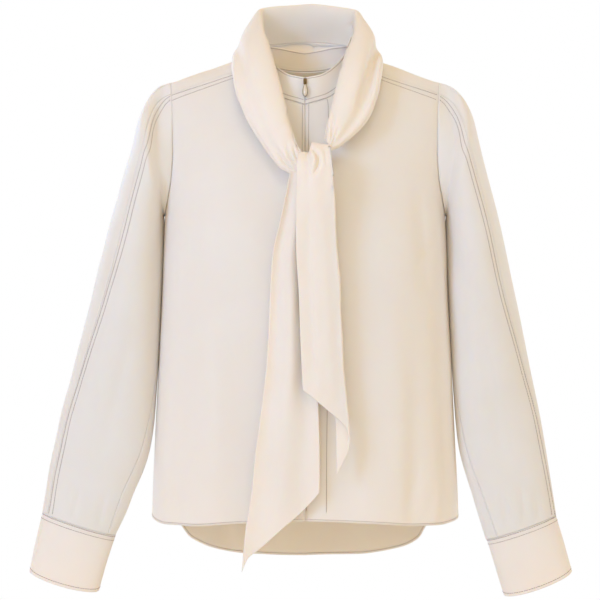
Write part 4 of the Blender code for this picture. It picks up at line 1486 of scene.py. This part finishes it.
UNDER_TAIL_END = Table(
    "across height",
    (-1.00, -0.6634),
    (-0.87, -0.6460),
    (-0.60, -0.6350),
    (-0.10, -0.6120),
    (0.50, -0.5860),
    (1.00, -0.5600),
)


@dataclass
class Knot:
    """The wrap of the knot and the two tails that hang from it."""

    tail_start: float = 5.0
    turn_up: float = 0.6
    bend_share: float = 0.4
    fold: float = 0.0024
    returns: float = 0.0150
    slant: float = 0.0006
    groove_at: float = -0.36
    groove_spread: float = 0.16
    drop_from: float = -0.12
    drop_over: float = 0.34
    wrap_creases: tuple[Crease | Ripples, ...] = (
        Crease(((6, -112), (15, -120), (18, -130), (15, -142), (8, -152)), -4.2, 3.4, 2.4, 0.25),
        Crease(((8, -116), (12, -127), (10, -142)), 2.0, 3.0, 3.0, 0.3),
        Crease(((-3, -120), (-1, -132), (0, -146)), -1.3, 2.5, 2.5, 0.3),
        Crease(((24, -112), (27, -124), (26, -138)), -1.2, 3.0, 2.0, 0.3),
        Ripples(height=0.3, length=30, seed=6),
    )
    tail_creases: tuple[Crease | Ripples, ...] = (
        Crease(((4, -165), (3, -240), (6, -330), (12, -430)), -2.6, 6, 7, 0.2),
        Crease(((24, -150), (28, -260), (34, -380), (40, -470)), 1.4, 8, 8),
        Ripples(height=0.35, length=45, seed=11),
    )
    under_creases: tuple[Crease | Ripples, ...] = (
        Ripples(height=0.4, length=50, seed=12),
    )

    def strip(self, rows: Table, way: Array) -> tuple[Array, Array]:
        """The middle of a hanging strip and the direction that its outer side faces.

        Args:
            rows: The strip's table.
            way: Share of the way along.

        Returns:
            The middle, and the direction.
        """
        middle = rows.point("", way)
        ahead, behind = rows.point("", way + 0.02), rows.point("", way - 0.02)
        out = unit(np.cross(unit(ahead - behind), np.array((1.0, 0.0, 0.0))))
        return middle, out

    def wrap(self, across: Array, way: Array) -> Array:
        """Points of the strip that wraps the knot and runs on as the top tail.

        Args:
            across: Place across the strip.
            way: Share of the way along.

        Returns:
            Points of the strip.
        """
        across, way = np.broadcast_arrays(across, way)
        middle, out = self.strip(WRAP, way)
        off = (across - self.groove_at) / self.groove_spread
        groove = WRAP.read("groove", way) * np.exp(-(off**2))
        bow = WRAP.read("bow", way) * np.cos(across * math.pi / 2) ** 2 - groove
        over = np.zeros_like(middle)
        over[..., 0] = WRAP.read("half", way) * across
        over[..., 2] = -WRAP.read("drop", way) * smooth_step((self.drop_from - across) / self.drop_over)
        return middle + over + out * bow[..., None]

    def top_tail(self, across: Array, way: Array) -> Array:
        """Points of the top tail, whose right edge turns back behind it past across 1.

        Args:
            across: Place across the strip.
            way: Share of the way along.

        Returns:
            Points of the tail.
        """
        flat_part = self.wrap(np.minimum(across, 1.0), way)
        _, out = self.strip(WRAP, way)
        grown = np.maximum(smooth_step((way - self.tail_start) / 1.5), 0.02)[..., None]
        past = np.maximum(across - 1, 0) / self.turn_up
        bend = np.minimum(past / self.bend_share, 1.0) * math.pi
        flat = np.maximum(past - self.bend_share, 0.0) / (1 - self.bend_share)
        back = self.fold * (1 - np.cos(bend)) + self.slant * flat
        over = np.zeros_like(flat_part)
        over[..., 0] = self.fold * np.sin(bend) - self.returns * flat
        return flat_part + (over - out * back[..., None]) * grown

    def under_tail(self, across: Array, way: Array) -> Array:
        """Points of the tail that hangs behind the top one.

        Args:
            across: Place across the strip.
            way: Share of the way along.

        Returns:
            Points of the tail.
        """
        middle, out = self.strip(UNDER_TAIL, way)
        waves = UNDER_TAIL.read("waves", way)
        over = np.zeros_like(middle)
        over[..., 0] = UNDER_TAIL.read("half", way) * across
        stand = waves * np.cos(across * 1.6 * math.pi + 0.4) - 0.3 * waves
        return middle + over + out * stand[..., None]

    def way_at(self, rows: Table, height: Array, start: float) -> Array:
        """The way along a strip at which it reaches a height.

        Args:
            rows: The strip's table.
            height: The height to reach.
            start: The way at which to begin.

        Returns:
            The way.
        """
        low = np.full(np.shape(height), float(start))
        high = np.full(np.shape(height), float(rows.keys[-1]))
        for _ in range(40):
            middle = (low + high) / 2
            above = rows.read("z", middle) > height
            low = np.where(above, middle, low)
            high = np.where(above, high, middle)
        return low

    def pieces(self) -> list[ClothPiece]:
        """The strip that wraps the knot and hangs as the top tail, and the tail under it."""

        def top(u: Array, v: Array) -> Array:
            """The top tail's points, cut on the slant."""
            end = self.way_at(WRAP, TOP_TAIL_END.read("height", u), self.tail_start)
            return self.top_tail(u, end * v)

        def under(u: Array, v: Array) -> Array:
            """The under tail's points, cut on the slant."""
            end = self.way_at(UNDER_TAIL, UNDER_TAIL_END.read("height", u), 0)
            return self.under_tail(u, end * v)

        turned = 1 + self.turn_up * np.linspace(0.04, 1, 24)
        knot_share = 0.47
        rows = np.concatenate((places(0, knot_share, 110), places(knot_share, 1, 150)[1:]))
        return [
            ClothPiece(
                "crepe_tie_knot_and_tail", top, np.concatenate((places(-1, 1, 60), turned)),
                rows, TIE_THICK, (*self.wrap_creases, *self.tail_creases),
            ),
            ClothPiece(
                "crepe_tie_tail_under", under, places(-1, 1, 66), places(0, 1, 190), TIE_THICK,
                self.under_creases,
            ),
        ]


@dataclass
class ZipTape:
    """The tape behind the slit. Its coil isn't modelled."""

    body: BodyForm
    collar: Collar
    half: float = 0.011
    thick: float = 0.0009
    inset: float = 0.0019
    above_seam: float = 0.031
    below_seam: float = 0.290
    curve_at_collar: float = 9.2
    curve_below: float = 1.2
    curve_change: float = 0.02

    def centre_front(self, down: Array) -> Array:
        """The outer surface at the centre front, by the distance below the neck seam.

        Args:
            down: Distance below the neck seam.

        Returns:
            Points of the surface.
        """
        zero = np.zeros_like(down)
        up = np.clip(-down / self.collar.rise, 0, 1)
        upper = self.collar.at(zero + 1.0, up) * np.array((0.0, 1.0, 1.0))
        top = -math.sqrt(float(self.body.neckline.read("below", 0.0)) / BODY_DROP)
        hem = -math.sqrt(-float(self.body.front_hem.read("height", 0.0)) / BODY_DROP)
        run = top + (hem - top) * np.maximum(down, 0) / CENTRE_FRONT_LENGTH
        lower = self.body.at(zero, run)
        return np.where((down <= 0)[..., None], upper, lower)

    def at(self, x: Array, down: Array) -> Array:
        """Points of the tape's outer side.

        Args:
            x: Distance from the centre front.
            down: Distance below the neck seam.

        Returns:
            Points of the surface.
        """
        x, down = np.broadcast_arrays(x, down)
        here = self.centre_front(down)
        along = unit(self.centre_front(down + 0.006) - self.centre_front(down - 0.006))
        inwards = unit(np.cross(np.array((1.0, 0.0, 0.0)), along))
        lower = smooth_step(down / self.curve_change)
        curve = self.curve_at_collar + (self.curve_below - self.curve_at_collar) * lower
        over = np.zeros_like(here)
        over[..., 0] = x
        return here + inwards * (self.inset + curve * x * x)[..., None] + over

    def piece(self) -> ClothPiece:
        """The tape, ready to build."""
        return ClothPiece(
            "crepe_zip_tape", self.at, places(-self.half, self.half, 16),
            places(-self.above_seam, self.below_seam, 120), self.thick,
        )


@dataclass
class ZipPull:
    """The pull tab: a drop of cream enamel in a brass rim, with an eye at its hinge."""

    tape: ZipTape
    slider_z: float = -0.0210
    slider_face: float = 0.0027
    pivot_out: float = 0.0013
    width: float = 0.0065
    neck: float = 0.0046
    length: float = 0.0210
    above: float = 0.0011
    plate_from: float = 0.0046
    plate: float = 0.0008
    rim: float = 0.42 * MM
    eye: float = 0.0012
    eye_wire: float = 0.36 * MM

    def place(self) -> Matrix:
        """Where the hinge lies, and how the pull leans with the collar."""
        low = self.tape.centre_front(np.array(0.0))
        high = self.tape.centre_front(np.array(-self.tape.collar.rise))
        lean = math.atan2(high[1] - low[1], high[2] - low[2])
        foot = low + (high - low) * (self.slider_z - low[2]) / (high[2] - low[2])
        turn = Matrix.Translation(Vector(foot)) @ Matrix.Rotation(-lean, 4, "X")
        return turn @ Matrix.Translation((0, -self.slider_face - self.pivot_out, 0))

    def outline(self, start: float, inset: float, count: int) -> list[tuple[float, float]]:
        """Points round the drop, as distances right of the hinge and below it.

        Args:
            start: Distance below the hinge at which the drop begins.
            inset: Distance that it lies inside the drop's edge.
            count: Number of points.

        Returns:
            The points, in order.
        """
        points = []
        for k in range(count):
            angle = 2 * math.pi * k / count
            far = (1 - math.cos(angle)) / 2
            down = start + inset + (self.length - start - 2 * inset) * far
            share = (down - self.above) / (self.length - self.above)
            grown = float(smooth_step((share - 0.25) / 0.45))
            half = self.neck / 2 + (self.width - self.neck) / 2 * grown - inset
            points.append((half * math.copysign(abs(math.sin(angle)) ** 0.75, math.sin(angle)), down))
        return points

    def wire(self, name: str, points: list[tuple[float, float]], thick: float) -> bpy.types.Object:
        """A round wire along a closed path in the pull's own plane.

        Args:
            name: The object's name.
            points: Points of the closed path, right of the hinge and below it.
            thick: The wire's thickness.

        Returns:
            The object.
        """
        path = bpy.data.curves.new(name, "CURVE")
        path.dimensions = "3D"
        path.bevel_depth = thick
        path.bevel_resolution = 3
        spline = path.splines.new("POLY")
        spline.points.add(len(points) - 1)
        for point, (right, down) in zip(spline.points, points):
            point.co = (right, 0, -down, 1)
        spline.use_cyclic_u = True
        guide = bpy.data.objects.new(name, path)
        bpy.context.scene.collection.objects.link(guide)
        graph = bpy.context.evaluated_depsgraph_get()
        mesh = bpy.data.meshes.new_from_object(guide.evaluated_get(graph))
        bpy.data.objects.remove(guide)
        return self.placed(name, mesh)

    def placed(self, name: str, mesh: bpy.types.Mesh) -> bpy.types.Object:
        """Puts a mesh made at the hinge where the pull hangs.

        Args:
            name: The object's name.
            mesh: The mesh, made at the hinge.

        Returns:
            The object.
        """
        mesh.transform(self.place())
        mesh.shade_smooth()
        obj = bpy.data.objects.new(name, mesh)
        bpy.context.scene.collection.objects.link(obj)
        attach(obj, PULL_BODY)
        return obj

    def build(self, brass: bpy.types.Material, enamel: bpy.types.Material) -> None:
        """Makes the enamel drop, its rim and its eye.

        Args:
            brass: The rim's material.
            enamel: The drop's material.
        """
        count = 40
        bm = bmesh.new()
        made = bmesh.ops.create_circle(bm, cap_ends=True, segments=count, radius=1.0)
        shape = self.outline(self.plate_from, self.rim * 0.6, count)
        for vert, (right, down) in zip(made["verts"], shape):
            vert.co = (right, -self.plate / 2, -down)
        grown = bmesh.ops.extrude_face_region(bm, geom=bm.faces[:])
        moved = [v for v in grown["geom"] if isinstance(v, bmesh.types.BMVert)]
        bmesh.ops.translate(bm, vec=(0, self.plate, 0), verts=moved)
        bmesh.ops.recalc_face_normals(bm, faces=bm.faces[:])
        mesh = bpy.data.meshes.new("pull_enamel")
        bm.to_mesh(mesh)
        bm.free()
        drop = self.placed("pull_enamel", mesh)
        drop.data.materials.append(enamel)
        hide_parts("zip_pull")
        rim = self.wire("pull_rim", self.outline(self.plate_from, 0.0, 48), self.rim)
        ring = [
            (self.eye * math.cos(a), self.eye * 1.3 * (1 - math.sin(a)) - self.above * 0.3)
            for a in np.linspace(0, 2 * math.pi, 25)[:-1]
        ]
        eye = self.wire("pull_eye", ring, self.eye_wire)
        for piece in (rim, eye):
            piece.data.materials.append(brass)


@dataclass(frozen=True)
class Lamp:
    """A soft round light that points at the blouse."""

    name: str
    place: tuple[float, float, float]
    size: float
    watts: float
    colour: tuple[float, float, float]
    target: tuple[float, float, float] = (0.0, -0.05, -0.30)

    def build(self) -> None:
        """Adds the light to the scene."""
        data = bpy.data.lights.new(self.name, "AREA")
        data.shape = "DISK"
        data.size = self.size
        data.energy = self.watts
        data.color = self.colour
        lamp = bpy.data.objects.new(self.name, data)
        lamp.location = self.place
        way = Vector(self.target) - Vector(self.place)
        lamp.rotation_euler = way.to_track_quat("-Z", "Y").to_euler()
        bpy.context.scene.collection.objects.link(lamp)


@dataclass
class Studio:
    """The plain pale floor, the soft tinted light and the camera."""

    camera_at: tuple[float, float, float] = (-0.00675, -3.2, -0.3105)
    field_width: float = 0.81
    sensor_mm: float = 36.0
    lamps: tuple[Lamp, ...] = (
        Lamp("key", (-2.2, -2.6, 0.85), 1.1, 50.0, (0.27, 0.52, 1.0)),
        Lamp("side", (2.9, -1.8, 0.7), 1.2, 17.0, (0.33, 0.60, 1.0)),
        Lamp("front", (-0.6, -3.3, 0.5), 2.4, 15.0, (0.50, 0.68, 1.0)),
        Lamp("neck", (0.1, -1.7, 1.5), 0.9, 5.0, (1.0, 0.93, 0.88), (0.0, 0.05, 0.04)),
        Lamp("rear_key", (-2.2, 2.6, 0.85), 1.2, 45.0, (0.3, 0.6, 1.0)),
        Lamp("rear_side", (2.7, 2.0, 0.7), 1.4, 30.0, (0.3, 0.6, 1.0)),
    )
    ambient: tuple[float, float, float] = (0.78, 0.565, 0.31)
    floor_z: float = -1.25
    floor_half: float = 2.9

    def build(self) -> None:
        """Makes the camera, the lights, the world and the floor."""
        scene = bpy.context.scene
        data = bpy.data.cameras.new("camera")
        data.sensor_width = self.sensor_mm
        data.lens = self.sensor_mm * -self.camera_at[1] / self.field_width
        camera = bpy.data.objects.new("camera", data)
        camera.location = self.camera_at
        camera.rotation_euler = (math.pi / 2, 0, 0)
        scene.collection.objects.link(camera)
        scene.camera = camera
        scene.view_settings.view_transform = "Standard"
        for lamp in self.lamps:
            lamp.build()
        self.world(scene)
        self.floor()

    def world(self, scene: bpy.types.Scene) -> None:
        """White behind the blouse, and a warm even light from all round it.

        Args:
            scene: The scene to light.
        """
        world = bpy.data.worlds.new("studio")
        scene.world = world
        world.use_nodes = True
        tree = world.node_tree
        tree.nodes.clear()
        warm = add_node(tree, "ShaderNodeBackground", {"Color": (*self.ambient, 1.0)})
        white = add_node(tree, "ShaderNodeBackground", {"Color": (1.0, 1.0, 1.0, 1.0)})
        seen = add_node(tree, "ShaderNodeLightPath")
        both = add_node(
            tree, "ShaderNodeMixShader", None, {"Fac": seen.outputs["Is Camera Ray"]}
        )
        tree.links.new(warm.outputs[0], both.inputs[1])
        tree.links.new(white.outputs[0], both.inputs[2])
        add_node(tree, "ShaderNodeOutputWorld", None, {"Surface": both.outputs[0]})

    def floor(self) -> None:
        """A pale painted floor, well below the blouse."""
        bm = bmesh.new()
        bmesh.ops.create_grid(bm, x_segments=1, y_segments=1, size=self.floor_half)
        bmesh.ops.translate(bm, vec=(0, 0, self.floor_z), verts=bm.verts[:])
        mesh = bpy.data.meshes.new("studio_floor")
        bm.to_mesh(mesh)
        bm.free()
        made, shader = new_material("pale_floor_paint")
        shader.inputs["Base Color"].default_value = linear("F4F2EF")
        shader.inputs["Roughness"].default_value = 0.8
        mesh.materials.append(made)
        obj = bpy.data.objects.new("studio_floor", mesh)
        bpy.context.scene.collection.objects.link(obj)


@dataclass(frozen=True)
class Cut:
    """A flat piece of crepe as it was cut, in metres, and how it is held now."""

    width: float
    length: float
    held: str
    rests_on: tuple[str, ...]
    area: float | None = None

    def declare(self, obj: bpy.types.Object) -> None:
        list(self.rests_on)


CUTS = {
    "crepe_front_right": Cut(0.27, 0.62, "hung", ("crepe_back", "crepe_collar")),
    "crepe_front_left": Cut(0.27, 0.62, "hung", ("crepe_back", "crepe_collar")),
    "crepe_back": Cut(0.54, 0.72, "hung", ("crepe_collar",)),
    "crepe_collar": Cut(0.36, 0.036, "gathered", ("crepe_back",)),
    "crepe_sleeve_right_front": Cut(0.12, 0.60, "hung", ("crepe_back", "crepe_front_right")),
    "crepe_sleeve_right_back": Cut(0.23, 0.60, "hung", ("crepe_back",)),
    "crepe_sleeve_left_front": Cut(0.12, 0.60, "hung", ("crepe_back", "crepe_front_left")),
    "crepe_sleeve_left_back": Cut(0.23, 0.60, "hung", ("crepe_back",)),
    "crepe_cuff_right": Cut(0.224, 0.075, "folded", ("crepe_sleeve_right_back",)),
    "crepe_cuff_left": Cut(0.224, 0.075, "folded", ("crepe_sleeve_left_back",)),
    "crepe_tie_right": Cut(0.085, 0.26, "draped", ("crepe_back", "crepe_front_right")),
    "crepe_tie_behind": Cut(0.22, 0.16, "folded", ("crepe_back",)),
    "crepe_tie_left": Cut(0.085, 0.23, "draped", ("crepe_back", "crepe_front_left")),
    "crepe_tie_knot_and_tail": Cut(0.071, 0.44, "gathered", ("crepe_tie_right",)),
    "crepe_tie_tail_under": Cut(0.096, 0.52, "hung", ("crepe_tie_knot_and_tail",), 0.034),
    "crepe_zip_tape": Cut(0.022, 0.32, "stretched", ("crepe_front_right", "crepe_front_left")),
}


@dataclass
class Blouse:
    """The whole blouse: its pieces, its stitching and what they replace."""

    hem_row: float = 2.8 * MM
    outer_row: Table = field(default_factory=lambda: Table(
        "row off", (-1, 0.0030), (-0.7, 0.0055), (0, 0.0055), (1, 0.0046), (2, 0.0036),
        (3, 0.0026), (6, 0.0026),
    ))

    def __post_init__(self) -> None:
        """Makes the forms that the pieces share."""
        self.form = BodyForm()
        self.panels = Panels(self.form)
        sleeve_creases = (Ripples(height=0.6, length=70, seed=21),)
        self.sleeves = [
            Sleeve(
                "right", SleeveForm(-1, self.form, RIGHT_SLEEVE, RIGHT_CUFF),
                (*sleeve_creases,
                 Crease(((-176, -120), (-190, -200), (-206, -300)), -2.6, 8, 12),
                 Crease(((-226, -330), (-250, -430), (-276, -540)), -2.0, 10, 12),
                 Crease(((-262, -560), (-270, -590), (-274, -618)), -1.5, 5, 6, 0.35),
                 Crease(((-300, -556), (-306, -586), (-310, -606)), -1.2, 5, 6, 0.35)),
                (Ripples(height=0.25, length=40, seed=31),),
            ),
            Sleeve(
                "left", SleeveForm(1, self.form, LEFT_SLEEVE, LEFT_CUFF),
                (*sleeve_creases,
                 Crease(((178, -120), (190, -200), (204, -300)), -2.6, 12, 8),
                 Crease(((222, -330), (246, -430), (268, -540)), -2.0, 12, 10),
                 Crease(((262, -560), (266, -590), (268, -618)), -1.5, 6, 5, 0.35),
                 Crease(((284, -552), (290, -584), (292, -612)), -1.4, 6, 5, 0.35),
                 Crease(((304, -560), (310, -590), (312, -608)), -1.3, 5, 5, 0.35)),
                (Ripples(height=0.25, length=40, seed=32),),
            ),
        ]
        self.collar = Collar(self.form)
        self.scarf = Scarf()
        self.knot = Knot()
        self.tape = ZipTape(self.form, self.collar)

    def build(self) -> None:
        """Builds every piece and dresses it."""
        silk = SilkCrepe().build()
        thread = SewingThread().build()
        nodes = {
            "crepe_front_right": "front_right", "crepe_front_left": "front_left",
            "crepe_back": "back", "crepe_collar": "collar",
            "crepe_sleeve_right_front": "sleeve_right_front",
            "crepe_sleeve_right_back": "sleeve_right_back",
            "crepe_sleeve_left_front": "sleeve_left_front",
            "crepe_sleeve_left_back": "sleeve_left_back",
            "crepe_cuff_right": "cuff_right", "crepe_cuff_left": "cuff_left",
            "crepe_tie_right": "tie_band_right", "crepe_tie_behind": "tie_band_back",
            "crepe_tie_left": "tie_band_left", "crepe_tie_tail_under": "tie_tail_under",
            "crepe_zip_tape": "zip_tape",
        }
        pieces = self.panels.pieces()
        for sleeve in self.sleeves:
            pieces += sleeve.pieces() + [sleeve.cuff_piece()]
        pieces += [self.collar.piece(), *self.scarf.pieces(), *self.knot.pieces(), self.tape.piece()]
        by_name = {}
        for piece in pieces:
            obj = piece.build()
            obj.data.materials.append(silk)
            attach(obj, CLOTH_BODY)
            if piece.name in nodes:
                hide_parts(nodes[piece.name])
            else:
                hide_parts("tie_knot", "tie_tail_top")
            by_name[piece.name] = piece
            CUTS[piece.name].declare(obj)
        self.stitch(by_name, thread)
        brass, enamel = AgedBrass().build(), CreamEnamel().build()
        ZipPull(self.tape).build(brass, enamel)
        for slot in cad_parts["zip_slider"].material_slots:
            slot.material = brass

    def stitch(self, cloth: dict[str, ClothPiece], thread: bpy.types.Material) -> None:
        """Sews the rows of topstitching.

        Args:
            cloth: The pieces by name.
            thread: The thread's material.
        """
        self.stitch_body(cloth).build(thread)
        self.stitch_collar(cloth).build(thread)
        for sleeve in self.sleeves:
            self.stitch_sleeve(cloth, sleeve).build(thread)

    def stitch_body(self, cloth: dict[str, ClothPiece]) -> Stitching:
        """The rows on the fronts and the back.

        Args:
            cloth: The cloth pieces by name.

        Returns:
            The stitching.
        """
        neck = self.form.neck_share
        body = Stitching("stitches_body")
        for side, word in ((-1, "right"), (1, "left")):
            piece = cloth[f"crepe_front_{word}"]
            inner, outer = sorted((side * (neck + 0.012), side * 0.99))
            towards_arm = np.linspace(0, 1, 80) if side > 0 else np.linspace(1, 0, 80)
            first = 5.5 * MM - 3.0 * MM * towards_arm
            second = 11.0 * MM - 1.0 * MM * towards_arm
            body.rows.append(row_beside(piece, Edge.TOP, first, inner, outer))
            body.rows.append(row_beside(piece, Edge.TOP, second, inner, outer))
            low, high = sorted((side * 0.004, side * 0.99))
            body.rows.append(row_beside(piece, Edge.BOTTOM, self.hem_row, low, high))
            centre = Edge.LAST if side < 0 else Edge.FIRST
            down = np.linspace(0, 1, 80)
            near = (3.2 + 2.8 * down if side < 0 else 4.7 - 2.9 * down) * MM
            body.rows.append(row_beside(piece, centre, near, 0.004, 0.985))
            if side > 0:
                placket = (30.2 - 3.0 * smooth_step((down - 0.5) / 0.5)) * MM
                body.rows.append(row_beside(piece, centre, placket, 0.004, 0.985))
        back = cloth["crepe_back"]
        body.rows.append(row_beside(back, Edge.BOTTOM, self.hem_row, -0.99, 0.99, count=160))
        body.rows.append(row_beside(back, Edge.BOTTOM, self.hem_row, -0.99, 0.99, True, 160))
        return body

    def stitch_collar(self, cloth: dict[str, ClothPiece]) -> Stitching:
        """The rows on the collar, outside and inside.

        Args:
            cloth: The cloth pieces by name.

        Returns:
            The stitching.
        """
        piece = cloth["crepe_collar"]
        rows = Stitching("stitches_collar")
        outside = ((Edge.TOP, 2.1), (Edge.BOTTOM, 1.2), (Edge.BOTTOM, 6.4))
        for edge, off in outside:
            rows.rows.append(row_beside(piece, edge, off * MM, -0.995, 0.995, False, 160))
        for edge, off in outside[:2]:
            rows.rows.append(row_beside(piece, edge, off * MM, -0.995, 0.995, True, 160))
        return rows

    def stitch_sleeve(self, cloth: dict[str, ClothPiece], sleeve: Sleeve) -> Stitching:
        """The rows on one sleeve and its cuff.

        Args:
            cloth: The cloth pieces by name.
            sleeve: The sleeve to stitch.

        Returns:
            The stitching.
        """
        rows = Stitching(f"stitches_sleeve_{sleeve.word}")
        front = cloth[f"crepe_sleeve_{sleeve.word}_front"]
        edge = Edge.LAST if sleeve.turned(True) else Edge.FIRST
        down = np.linspace(-0.98, 5.99, 80)
        off = self.outer_row.read("off", down)
        for more in (0.0, 5.3 * MM):
            rows.rows.append(row_beside(front, edge, off + more, -0.98, 5.99))
        cuff = cloth[f"crepe_cuff_{sleeve.word}"]
        for side, off in ((Edge.TOP, 1.4), (Edge.TOP, 6.6), (Edge.BOTTOM, 4.0)):
            rows.rows.append(row_beside(cuff, side, off * MM, 0, 1, count=120))
        return rows


def main() -> None:
    """Builds the studio and the blouse."""
    logging.basicConfig(level=logging.INFO, format="%(name)s: %(message)s")
    Studio().build()
    Blouse().build()


if __name__ == "__main__":
    main()
